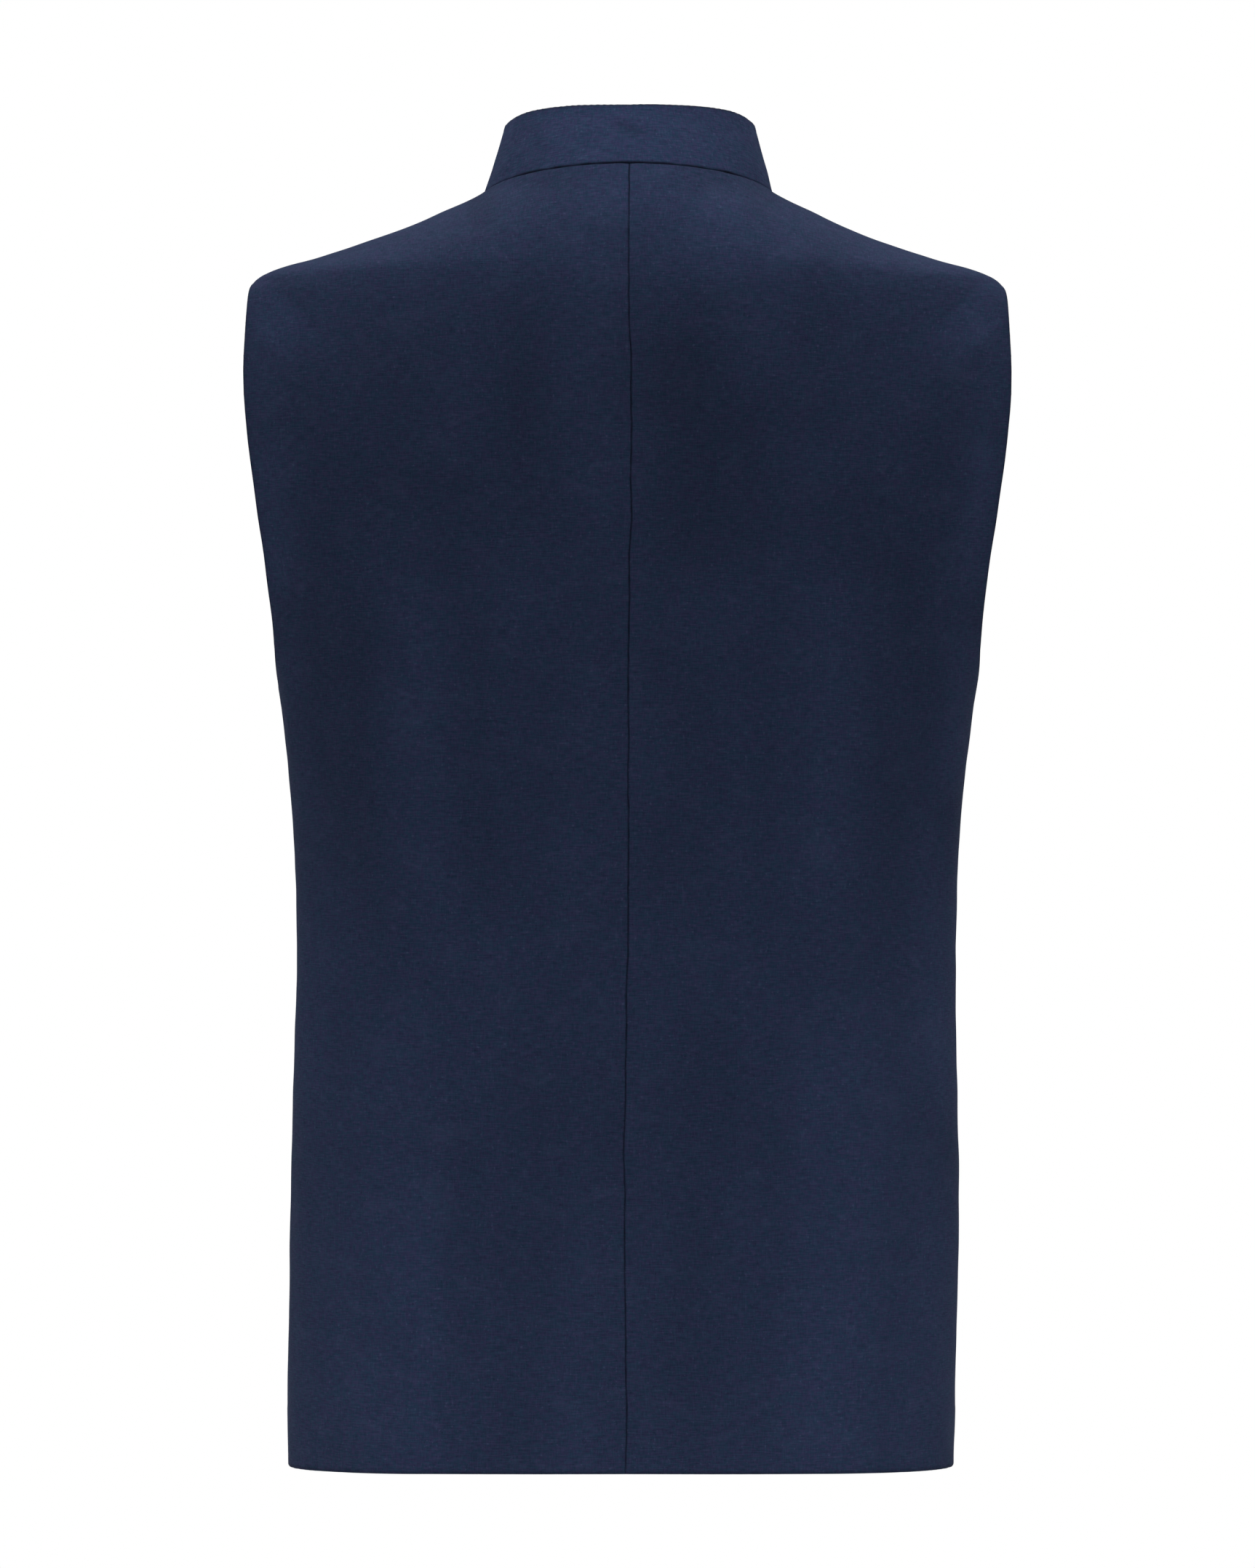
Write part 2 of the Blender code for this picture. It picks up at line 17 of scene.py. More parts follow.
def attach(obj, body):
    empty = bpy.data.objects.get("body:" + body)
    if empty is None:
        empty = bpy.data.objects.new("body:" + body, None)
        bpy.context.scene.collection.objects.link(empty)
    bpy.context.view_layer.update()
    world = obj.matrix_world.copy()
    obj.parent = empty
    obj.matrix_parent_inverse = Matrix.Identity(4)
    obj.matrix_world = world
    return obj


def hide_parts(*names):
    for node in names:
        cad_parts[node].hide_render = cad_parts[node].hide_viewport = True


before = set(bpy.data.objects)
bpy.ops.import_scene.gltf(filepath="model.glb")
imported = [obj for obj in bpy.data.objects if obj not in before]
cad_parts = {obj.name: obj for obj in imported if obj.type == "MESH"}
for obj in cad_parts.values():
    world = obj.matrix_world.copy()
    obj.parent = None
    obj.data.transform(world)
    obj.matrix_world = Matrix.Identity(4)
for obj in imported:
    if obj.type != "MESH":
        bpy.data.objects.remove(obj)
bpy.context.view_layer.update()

MM = 0.001

# Walls and gaps
PANEL_WALL = 2.0  # linen with its interlining
COLLAR_WALL = 3.0  # two layers of linen round a stiff interlining
SEAM_HALF_GAP = -0.02  # the model's gaps at the seams are closed here
COLLAR_GAP = -0.9
LAP_STEP = 2.55  # how far the under front lies inside the upper front

# Neck
NECK_FRONT = 72.0  # front neck point from the shoulder line
NECK_BACK_Z = 12.0  # back neck point above the side neck points

# Armhole, an oval in side view between the shoulder point and the underarm
TIP_Z = -50.0
UNDERARM_Z = -270.0
ARMHOLE_BACK = 50.0  # how far the oval reaches back from the shoulder line
ARMHOLE_FRONT = 58.0  # and how far forward
ARMHOLE_SCOOP = 0.18  # how much deeper the front is cut low down


# Closure and hem
LAP = 20.0  # each front runs this far past the centre front
HEM_Z = -690.5
HEM_BACK_LIFT = 3.2  # the hem rises a little at the centre back
HEM_FRONT_DROP = 3.0  # and falls a little at the centre front
HEM_CORNER = 30.0  # radius of the fronts' lower corners

# Half width at the silhouette: shoulder line, armhole edge, side seam
#        z     half_width
HALF = (
    (20.0, 62.0),
    (14.0, 66.3),
    (10.0, 69.5),
    (5.0, 73.7),
    (0.0, 78.0),
    (-4.6, 86.3),
    (-11.9, 102.1),
    (-18.6, 117.9),
    (-24.5, 133.7),
    (-34.9, 165.3),
    (-44.8, 196.9),
    (-50.0, 203.6),
    (-54.0, 205.0),
    (-63.0, 205.8),
    (-78.5, 206.8),
    (-95.0, 207.3),
    (-111.0, 207.0),
    (-143.0, 204.0),
    (-174.0, 200.2),
    (-205.0, 195.9),
    (-236.0, 191.9),
    (-270.0, 188.6),
    (-300.0, 185.3),
    (-330.0, 182.3),
    (-365.0, 180.0),
    (-415.0, 178.7),
    (-480.0, 179.6),
    (-560.0, 180.7),
    (-640.0, 180.6),
    (-720.0, 179.6),
)

# How much narrower the form is in front, where the armhole is cut further in
#        z     inset
FRONT_INSET = (
    (20.0, 0.0),
    (-46.0, 0.0),
    (-60.0, 6.5),
    (-75.0, 14.5),
    (-100.0, 21.0),
    (-140.0, 24.0),
    (-180.0, 21.0),
    (-220.0, 12.5),
    (-250.0, 4.0),
    (-272.0, 0.0),
    (-720.0, 0.0),
)

# Depth from the shoulder line to the centre back, and the ring's squareness
#        z     depth   power
BACK = (
    (20.0, 59.0, 2.00),
    (12.0, 66.0, 2.00),
    (0.0, 75.0, 2.00),
    (-20.0, 88.0, 1.92),
    (-40.0, 96.5, 1.88),
    (-60.0, 102.0, 1.90),
    (-90.0, 107.0, 2.02),
    (-120.0, 110.5, 2.18),
    (-180.0, 114.5, 2.32),
    (-250.0, 114.5, 2.35),
    (-330.0, 111.0, 2.38),
    (-410.0, 109.5, 2.40),
    (-500.0, 112.5, 2.42),
    (-600.0, 118.0, 2.45),
    (-720.0, 123.0, 2.45),
)

# Depth from the shoulder line to the centre front, and the ring's squareness
#        z     depth   power
FRONT = (
    (20.0, 26.0, 2.00),
    (0.0, 37.0, 2.00),
    (-30.0, 53.0, 1.95),
    (-59.0, 72.0, 1.92),
    (-100.0, 93.0, 2.05),
    (-140.0, 107.5, 2.15),
    (-180.0, 118.0, 2.20),
    (-250.0, 126.0, 2.25),
    (-330.0, 122.5, 2.30),
    (-410.0, 118.5, 2.35),
    (-500.0, 120.0, 2.35),
    (-600.0, 124.0, 2.35),
    (-720.0, 127.0, 2.35),
)

# Soft folds: a ridge lifts the cloth, a trough (negative) sinks it.
# side is +1 on the wearer's left; along is the angle round the body from the
# centre back (0) over the side seam (90) to the centre front (180), at its
# upper and lower ends; width is the half width across, in degrees.
#   side  along_up  along_low  z_up   z_low  width  lift
FOLDS = (
    (+1, 43.0, 38.0, -190.0, -690.0, 7.0, 2.2),
    (+1, 27.0, 29.0, -400.0, -690.0, 5.0, -1.8),
    (+1, 62.0, 58.0, -120.0, -400.0, 8.0, -1.6),
    (+1, 12.0, 14.0, -430.0, -680.0, 6.0, -0.9),
    (-1, 42.0, 39.0, -200.0, -610.0, 7.0, 2.0),
    (-1, 28.0, 28.0, -430.0, -690.0, 5.0, -1.6),
    (-1, 60.0, 57.0, -130.0, -410.0, 8.0, -1.7),
    (-1, 14.0, 10.0, -110.0, -250.0, 8.0, -1.5),
    (+1, 118.0, 122.0, -260.0, -690.0, 8.0, 2.0),
    (-1, 117.0, 121.0, -290.0, -690.0, 8.0, 1.9),
    (+1, 140.0, 136.0, -330.0, -690.0, 7.0, -1.5),
    (-1, 139.0, 137.0, -300.0, -640.0, 7.0, -1.6),
)

# How the jacket hangs off true on its wearer, in x: its sides, and its centre back seam
#        z     sides  seam
SWAY = (
    (50.0, -1.7, -1.7),
    (12.0, -0.9, -0.9),
    (-14.0, 0.0, -0.7),
    (-60.0, 0.0, -0.6),
    (-100.0, 0.2, -1.5),
    (-140.0, 0.2, -2.1),
    (-200.0, 0.2, -1.35),
    (-260.0, 0.3, -0.3),
    (-340.0, 0.5, -0.5),
    (-430.0, 0.9, 0.1),
    (-485.0, 1.2, 1.0),
    (-545.0, 1.5, 1.7),
    (-605.0, 2.1, 1.1),
    (-650.0, 2.8, 0.7),
    (-700.0, 3.4, 1.5),
)

RIGHT_SHOULDER_DROP = 1.2  # the wearer's right shoulder hangs a little lower

# Collar, outer face: how far its top edge stands in from the neckline and
# above it. around is the angle from the centre back (0) to the front (180).
#   around  lean_in  rise
COLLAR = (
    (0.0, 16.0, 32.2),
    (15.0, 15.1, 32.7),
    (30.0, 14.1, 33.8),
    (45.0, 13.2, 35.1),
    (70.0, 11.6, 37.0),
    (90.0, 11.0, 37.0),
    (120.0, 9.0, 35.6),
    (150.0, 5.5, 33.6),
    (180.0, 3.5, 32.4),
)
COLLAR_END = 2.0  # half the space between the collar's ends
COLLAR_CORNER = 16.0  # radius of its front corners

# Buttons on the centre front, from the top
BUTTONS_Z = (-88.0, -190.0, -292.0, -394.0, -496.0)
BUTTON_R = 7.5
BUTTON_THICK = 2.8
BUTTON_GAP = 0.35
HOLE_R = 0.9
HOLE_OFF = 1.6  # each hole from the button's middle, along both axes
#            radius  height
BUTTON_PROFILE = (
    (0.0, 1.9),
    (4.4, 1.9),
    (5.3, 2.5),
    (6.4, 2.8),
    (7.2, 2.4),
    (7.5, 1.5),
    (7.0, 0.5),
    (5.6, 0.0),
    (0.0, 0.0),
)


# ---------------------------------------------------------------- curves


def blurred(value, samples):
    """Evenly spaced values, eased by a bell of this many samples."""
    reach = int(3 * samples)
    bell = np.exp(-0.5 * (np.arange(-reach, reach + 1) / samples) ** 2)
    ends = np.arange(1, reach + 1)
    before = value[0] - (value[1] - value[0]) * ends[::-1]
    after = value[-1] + (value[-1] - value[-2]) * ends
    padded = np.concatenate([before, value, after])
    return np.convolve(padded, bell / bell.sum(), "valid")


def column(table, index, blur):
    """A table's column as a smooth function of its first one: a monotone cubic
    through its rows, eased over the distance blur."""
    rows = sorted(table)
    x = np.array([r[0] for r in rows])
    y = np.array([r[index] for r in rows])
    step, slope = np.diff(x), np.diff(y) / np.diff(x)
    m = np.zeros(len(x))
    m[0], m[-1] = slope[0], slope[-1]
    for i in range(1, len(x) - 1):
        if slope[i - 1] * slope[i] > 0:
            w1, w2 = 2 * step[i] + step[i - 1], step[i] + 2 * step[i - 1]
            m[i] = (w1 + w2) / (w1 / slope[i - 1] + w2 / slope[i])
    fine = np.arange(x[0], x[-1] + 0.25, 0.5)
    k = np.clip(np.searchsorted(x, fine) - 1, 0, len(step) - 1)
    t = (fine - x[k]) / step[k]
    value = (
        y[k] * (1 + 2 * t) * (1 - t) ** 2
        + y[k + 1] * t * t * (3 - 2 * t)
        + step[k] * (m[k] * t * (1 - t) ** 2 - m[k + 1] * t * t * (1 - t))
    )
    value = blurred(value, 2 * blur)
    return lambda z: np.interp(z, fine, value)


half_at = column(HALF, 1, 1.6)
front_inset = column(FRONT_INSET, 1, 4.0)
back_depth, back_power = column(BACK, 1, 8.0), column(BACK, 2, 12.0)
front_depth, front_power = column(FRONT, 1, 8.0), column(FRONT, 2, 12.0)
lean_at, rise_at = column(COLLAR, 1, 4.0), column(COLLAR, 2, 4.0)
sway_sides, sway_seam = column(SWAY, 1, 8.0), column(SWAY, 2, 8.0)
NECK_HALF = float(half_at(0.0))  # side neck point from the middle


def ease(t):
    t = np.clip(t, 0.0, 1.0)
    return t * t * (3 - 2 * t)


def armhole_reach(z, front):
    """How far the armhole edge is from the shoulder line's plane at height z,
    and 0 above the shoulder point and below the underarm."""
    q = (z - (TIP_Z + UNDERARM_Z) / 2) / ((TIP_Z - UNDERARM_Z) / 2)
    oval = np.sqrt(np.clip(1 - q * q, 0, 1))
    if front:
        return ARMHOLE_FRONT * oval * (1 - ARMHOLE_SCOOP * np.clip(q, -1, 1))
    return ARMHOLE_BACK * oval


def form_half():
    """The form's half width at each height. Between the shoulder point and the
    underarm it is what makes the back's ring pass through the armhole edge,
    and it runs on smoothly below the underarm."""
    z = np.arange(-720.0, 20.25, 0.5)
    share = (armhole_reach(z, False) / back_depth(z)) ** back_power(z)
    half = half_at(z) / (1 - share) ** (1 / back_power(z))
    soft = blurred(half, 24)
    half = half + (soft - half) * ease((-200.0 - z) / 45.0)
    return lambda level: np.interp(level, z, half)


form_half_at = form_half()


def ring(z, front):
    """Half width, depth and power of the half ring at height z."""
    half = form_half_at(z)
    if front:
        return half - front_inset(z), front_depth(z), front_power(z)
    return half, back_depth(z), back_power(z)


def on_ring(phi, z, front):
    """The form's point at angle phi from the middle of the back or front."""
    half, depth, power = ring(z, front)
    s, c = np.sin(phi), np.cos(phi)
    k = (np.abs(s) ** power + np.abs(c) ** power) ** (-1 / power)
    y = depth * c * k
    return np.stack([half * s * k, -y if front else y, z], -1)


def outward(phi, z, front):
    """The form's unit normal, pointing out."""
    d = 1e-3
    across = on_ring(phi + d, z, front) - on_ring(phi - d, z, front)
    up = on_ring(phi, z + 0.2, front) - on_ring(phi, z - 0.2, front)
    n = np.cross(up, across) if front else np.cross(across, up)
    n *= -1
    return n / np.linalg.norm(n, axis=-1, keepdims=True)


def fold_lift(phi, z, front, side):
    """How far the folds move the cloth out."""
    along = np.degrees(np.abs(phi))
    along = 180 - along if front else along
    lift = np.zeros(np.shape(z))
    for row_side, up, low, z_up, z_low, width, height in FOLDS:
        if row_side != side:
            continue
        t = (z_up - z) / (z_up - z_low)
        middle = up + (low - up) * np.clip(t, 0, 1)
        fade = ease(t / 0.35) * (1.0 if z_low < -680 else ease((1 - t) / 0.35))
        lift += height * fade * np.exp(-0.5 * ((along - middle) / width) ** 2)
    return lift * ease((90 - np.abs(90 - along)) / 12.0)


def settled(p):
    """Points moved to where the jacket hangs on its wearer."""
    x, y, z = p[..., 0], p[..., 1], p[..., 2]
    near_seam = np.exp(-((x / 70.0) ** 2)) * ease(y / 40.0)
    sides, seam = sway_sides(z), sway_seam(z)
    shift = sides + (seam - sides) * near_seam
    drop = RIGHT_SHOULDER_DROP * ease((-85.0 - x) / 50.0) * ease((z + 110.0) / 50.0)
    return p + np.stack([shift, 0 * shift, -drop], -1)


def cloth(phi, z, front, side, sunk=0.0):
    """The outer face of the cloth, for the wearer's left (side +1) or right."""
    lift = fold_lift(phi, z, front, side) - sunk
    p = on_ring(phi, z, front) + lift[..., None] * outward(phi, z, front)
    return settled(p * [side, 1, 1])


def angle_at(x, z, front):
    """The angle at which the ring at height z is x from the middle."""
    half, _, power = ring(z, front)
    t = np.clip(np.abs(x) / half, 0, 1)
    return np.sign(x) * np.arctan2(t, (1 - t**power) ** (1 / power))


def last_angle(z, front):
    """The angle of the side seam, shoulder seam or armhole edge."""
    _, depth, power = ring(z, front)
    reach = armhole_reach(z, front)
    t = np.where(reach > 0, reach, SEAM_HALF_GAP) / depth
    return np.arctan2((1 - np.abs(t) ** power) ** (1 / power), t)


def neck_at(plan, front):
    """Angle and height on the form where the neckline is, for an angle in plan
    from the middle. The front one is where the form meets the neck's oval."""
    plan = np.asarray(plan, float)
    if not front:
        return plan, NECK_BACK_Z * np.cos(plan)
    x, y = NECK_HALF * np.sin(plan), NECK_FRONT * np.cos(plan)
    low, high = np.full(plan.shape, -75.0), np.full(plan.shape, 0.0)
    for _ in range(40):
        z = (low + high) / 2
        half, depth, power = ring(z, True)
        within = (x / half) ** power + (y / depth) ** power < 1
        low, high = np.where(within, z, low), np.where(within, high, z)
    half, depth = ring(z, True)[:2]
    return np.arctan2(x / half, y / depth), z


def hem_shift(phi, z, front):
    """The lowest part of a panel follows the hem's slight bow."""
    bow = -HEM_FRONT_DROP if front else HEM_BACK_LIFT
    return bow * np.cos(phi) ** 2 * ease((-480.0 - z) / 200.0)


# ---------------------------------------------------------------- panels


def top_path(front, lap, along_lap, along_neck, along_shoulder):
    """Angle and height of each column's top: overlap, neckline, shoulder."""
    neck_phi, neck_z = neck_at(along_neck * math.pi / 2, front)
    if not lap:
        neck_phi = np.maximum(neck_phi, angle_at(SEAM_HALF_GAP, neck_z, front))
    x = NECK_HALF + (half_at(TIP_Z) - NECK_HALF) * along_shoulder
    levels = np.linspace(0.0, TIP_Z, 400)
    shoulder_z = np.interp(x, half_at(levels), levels)
    shoulder_phi = last_angle(shoulder_z, front)
    neck_phi = np.minimum(neck_phi, shoulder_phi[0])
    lap_z = np.full(len(along_lap), neck_z[0])
    lap_phi = angle_at(-LAP * (1 - along_lap), lap_z, front)
    return (
        np.concatenate([lap_phi, neck_phi, shoulder_phi]),
        np.concatenate([lap_z, neck_z, shoulder_z]),
    )


def round_corner(phi, z, front):
    """Lifts the hem beside the front edge to a rounded corner."""
    x = on_ring(phi, z, front)[..., 0] + LAP
    d = np.clip(x, 0, HEM_CORNER)
    arc = HEM_CORNER - np.sqrt(HEM_CORNER**2 - (HEM_CORNER - d) ** 2)
    near = ease((z - (HEM_Z + 140.0)) / -140.0)
    return z + arc * near * (x < HEM_CORNER)


def lap_sink(phi, z):
    """The under front steps in where the upper front covers it."""
    x = on_ring(phi, z, True)[..., 0]
    return LAP_STEP * ease((LAP + 26.0 - x) / 22.0)


# ---------------------------------------------------------------- collar


def neckline(around):
    """The neckline at an angle in plan from the centre back, on the left."""
    around = np.asarray(around, float)
    phi_b, z_b = neck_at(np.radians(np.minimum(around, 90.0)), False)
    phi_f, z_f = neck_at(np.radians(np.minimum(180.0 - around, 90.0)), True)
    back, front = on_ring(phi_b, z_b, False), on_ring(phi_f, z_f, True)
    return np.where((around <= 90.0)[..., None], back, front)


# ------------------------------------------------- fine panels for this scene

FINE = 2.6  # spacing of a panel's points away from its edges
EDGE = (0.0, 0.1, 0.3, 0.6, 1.0, 1.5, 2.2, 3.1, 4.3, 5.8, 7.6, 9.8)


def spread(length, first=EDGE, last=EDGE, step=FINE):
    """Distances from 0 to length: close together at both ends, even between."""
    first, last = np.array(first), length - np.array(last)[::-1]
    count = max(2, int(round((last[0] - first[-1]) / step)))
    middle = np.linspace(first[-1], last[0], count + 1)[1:-1]
    return np.concatenate([first, middle, last])


def fine_net(front):
    """Angles and heights of a panel's points, laid out as panel_net lays them
    out, but close together, and closest beside the edges."""
    lap_share, neck_share = (0.07, 0.47) if front else (0.0, 0.41)
    low = angle_at(np.array([-LAP if front else SEAM_HALF_GAP]), -200.0, front)[0]
    fine = np.linspace(0, 1, 800)
    ring_points = on_ring(low + (math.pi / 2 - low) * fine, np.full(800, -200.0), front)
    far = np.append(
        0, np.cumsum(np.linalg.norm(np.diff(ring_points, axis=0), axis=1))
    )
    length = far[-1]
    share = spread(length) / length
    for exact in (lap_share, neck_share):
        if exact > 0:
            share[np.argmin(np.abs(share - exact))] = exact
    turn = np.interp(share, far / length, fine)

    lap = share < lap_share
    neck = (share >= lap_share) & (share < neck_share)
    shoulder = share >= neck_share
    along_lap = share[lap] / max(lap_share, 1e-9)
    along_neck = (share[neck] - lap_share) / (neck_share - lap_share)
    along_shoulder = (share[shoulder] - neck_share) / (1 - neck_share)
    top_phi, top_z = top_path(front, front, along_lap, along_neck, along_shoulder)

    def first_angle(z):
        return angle_at(-LAP if front else SEAM_HALF_GAP, z, front)

    first_level = -100.0 if front else -80.0
    deep = (NECK_BACK_Z if not front else -60.0) - first_level
    yoke = spread(max(deep, 70.0) * 1.15, EDGE, (0.0,), 2.4) / (max(deep, 70.0) * 1.15)
    middle = (TIP_Z + UNDERARM_Z) / 2
    reach = (TIP_Z - UNDERARM_Z) / 2
    start = math.acos((first_level - middle) / reach)
    count = int(round((first_level - UNDERARM_Z) / FINE))
    evenly = np.linspace(0, 1, count + 1)
    even_z = first_level + (UNDERARM_Z - first_level) * evenly
    oval_z = middle + reach * np.cos(start + (math.pi - start) * evenly)
    low_z = UNDERARM_Z - spread(UNDERARM_Z - HEM_Z, (0.0,), EDGE)[1:]

    def level(z, edge_z):
        z = z + (edge_z - z) * share**14
        first = first_angle(z)
        last = last_angle(np.full(len(share), edge_z), front)
        return first + (last - first) * turn, z

    base_phi, base_z = level(np.full(len(share), first_level), first_level)
    net = []
    for w in yoke[:-1]:
        down = w + (w * w - w) * share**6
        z = top_z + (base_z - top_z) * down
        phi = top_phi + (base_phi - top_phi) * w
        true_end = last_angle(z[-1:], front)[0]
        true_start = first_angle(z[:1])[0]
        phi = phi + (true_end - phi[-1]) * share**4
        phi = phi + (true_start - phi[0]) * (1 - share) ** 12
        net.append((phi, z))
    net += [level(np.full(len(share), a), b) for a, b in zip(even_z, oval_z)]
    net += [level(np.full(len(share), a), a) for a in low_z]
    phi, z = (np.array([row[i] for row in net]) for i in (0, 1))
    z = z + hem_shift(phi, z, front)
    if front:
        z = round_corner(phi, z, True)
    return phi, z, neck_share, share


def near(tree_points, points):
    """Distance from each point to the nearest of tree_points, in millimetres."""
    tree = kdtree.KDTree(len(tree_points))
    for i, p in enumerate(tree_points):
        tree.insert(p, i)
    tree.balance()
    flat = points.reshape(-1, 3)
    return np.array([tree.find(p)[2] for p in flat]).reshape(points.shape[:-1])


def dense(line, step=0.4):
    """A line of points, filled in to this spacing."""
    long = np.append(0, np.cumsum(np.linalg.norm(np.diff(line, axis=0), axis=1)))
    at = np.linspace(0, long[-1], max(2, int(long[-1] / step)))
    return np.stack([np.interp(at, long, line[:, i]) for i in range(3)], -1)


def edges_of(points, neck_share, share):
    """Each edge's distance from every point of a panel."""
    z = points[:, -1, 2]
    snp = int(np.argmin(np.abs(share - neck_share)))
    under = int(np.argmin(np.abs(z - UNDERARM_Z)))
    lines = {
        "middle": points[:, 0],
        "neck": points[0, : snp + 1],
        "shoulder": points[0, snp:],
        "armhole": points[: under + 1, -1],
        "side": points[under:, -1],
        "hem": points[-1],
    }
    return {name: near(dense(line), points) for name, line in lines.items()}


def grid_normals(points, flip):
    """Unit normals of a grid of points."""
    down = np.gradient(points, axis=0)
    across = np.gradient(points, axis=1)
    n = np.cross(down, across)
    n /= np.maximum(np.linalg.norm(n, axis=-1, keepdims=True), 1e-12)
    return -n if flip else n


def waves(u, v, size, seed, count=16):
    """Smooth seeded unevenness, about -1 to 1, with features of this size."""
    rng = np.random.default_rng(seed)
    total = np.zeros(np.shape(u))
    for _ in range(count):
        angle, phase = rng.uniform(0, math.tau, 2)
        long = size * rng.uniform(0.75, 1.7)
        total += np.cos(
            math.tau * (u * math.cos(angle) + v * math.sin(angle)) / long + phase
        )
    return total / math.sqrt(2 * count)


def pressed(d, lifts):
    """Sum of soft ridges (positive) and troughs along segments. Each row is
    x, z at both ends, half width, lift."""
    x, z = d
    total = np.zeros(np.shape(x))
    for x1, z1, x2, z2, width, lift in lifts:
        dx, dz = x2 - x1, z2 - z1
        long = math.hypot(dx, dz)
        t = ((x - x1) * dx + (z - z1) * dz) / long**2
        off = ((x - x1) * dz - (z - z1) * dx) / long
        ends = ease((t + 0.12) / 0.34) * ease((1.12 - t) / 0.34)
        total += lift * ends * np.exp(-0.5 * (off / width) ** 2)
    return total


# Creases and drape that the cloth shows on its wearer besides the long folds.
#   x1, z1, x2, z2, half width, lift
BACK_DRAPE = (
    (113.0, -135.0, 117.0, -400.0, 19.0, 1.7),
    (-106.0, -140.0, -110.0, -392.0, 18.0, 1.7),
    (166.0, -190.0, 160.0, -385.0, 15.0, -1.6),
    (-153.0, -180.0, -150.0, -400.0, 14.0, -1.6),
    (62.0, -50.0, 55.0, -190.0, 13.0, -1.3),
    (-30.0, -66.0, -32.0, -205.0, 17.0, -2.0),
    (-46.0, -8.0, -50.0, -66.0, 15.0, 1.0),
    (34.0, -10.0, 26.0, -80.0, 12.0, 0.6),
    (84.0, -230.0, 80.0, -380.0, 10.0, -0.8),
    (-76.0, -250.0, -78.0, -380.0, 10.0, -0.7),
    (136.0, -430.0, 142.0, -700.0, 33.0, 2.2),
    (-122.0, -420.0, -128.0, -700.0, 31.0, 2.2),
    (54.0, -440.0, 56.0, -700.0, 36.0, -1.7),
    (-50.0, -430.0, -48.0, -700.0, 34.0, -1.8),
    (96.0, -425.0, 98.0, -690.0, 7.0, -1.0),
    (-92.0, -440.0, -90.0, -600.0, 7.0, -1.0),
    (28.0, -560.0, 34.0, -690.0, 12.0, 0.8),
    (-186.0, -140.0, -199.0, -118.0, 2.6, 0.55),
    (-182.0, -160.0, -196.0, -142.0, 2.4, 0.45),
    (-180.0, -182.0, -193.0, -170.0, 2.8, 0.4),
    (186.0, -152.0, 197.0, -132.0, 2.6, 0.45),
    (183.0, -178.0, 193.0, -164.0, 2.6, 0.35),
    (150.0, -262.0, 176.0, -292.0, 7.0, 0.8),
    (-150.0, -255.0, -177.0, -290.0, 7.0, 0.9),
    (130.0, -395.0, 176.0, -420.0, 8.0, 0.7),
    (-128.0, -400.0, -176.0, -430.0, 8.0, 0.8),
    (140.0, -455.0, 176.0, -470.0, 7.0, -0.5),
    (-138.0, -462.0, -175.0, -480.0, 7.0, -0.5),
)
FRONT_DRAPE = (
    (56.0, -88.0, 122.0, -186.0, 15.0, -2.2),
    (-54.0, -90.0, -120.0, -178.0, 16.0, -2.0),
    (92.0, -78.0, 146.0, -148.0, 12.0, 1.4),
    (-90.0, -74.0, -142.0, -140.0, 13.0, 1.5),
    (118.0, -226.0, 174.0, -262.0, 9.0, 1.8),
    (-116.0, -222.0, -174.0, -258.0, 9.0, 1.9),
    (94.0, -272.0, 170.0, -302.0, 9.0, -1.4),
    (-92.0, -268.0, -170.0, -298.0, 9.0, -1.4),
    (100.0, -300.0, 96.0, -420.0, 17.0, 1.5),
    (-104.0, -310.0, -98.0, -430.0, 16.0, 1.5),
    (30.0, -200.0, 88.0, -236.0, 11.0, 1.1),
    (-32.0, -296.0, -96.0, -320.0, 10.0, 1.1),
    (34.0, -372.0, 92.0, -398.0, 9.0, 0.9),
    (-34.0, -380.0, -86.0, -410.0, 9.0, -0.9),
    (112.0, -398.0, 172.0, -420.0, 8.0, 1.5),
    (-108.0, -404.0, -172.0, -432.0, 8.0, 1.5),
    (110.0, -446.0, 174.0, -466.0, 8.0, -1.2),
    (-112.0, -456.0, -174.0, -472.0, 8.0, -1.2),
    (60.0, -470.0, 66.0, -700.0, 15.0, -2.2),
    (-58.0, -480.0, -66.0, -700.0, 15.0, -2.0),
    (100.0, -470.0, 108.0, -700.0, 20.0, 2.4),
    (-102.0, -460.0, -110.0, -700.0, 20.0, 2.4),
    (148.0, -500.0, 152.0, -700.0, 13.0, -1.8),
    (-150.0, -490.0, -156.0, -700.0, 13.0, -1.8),
)
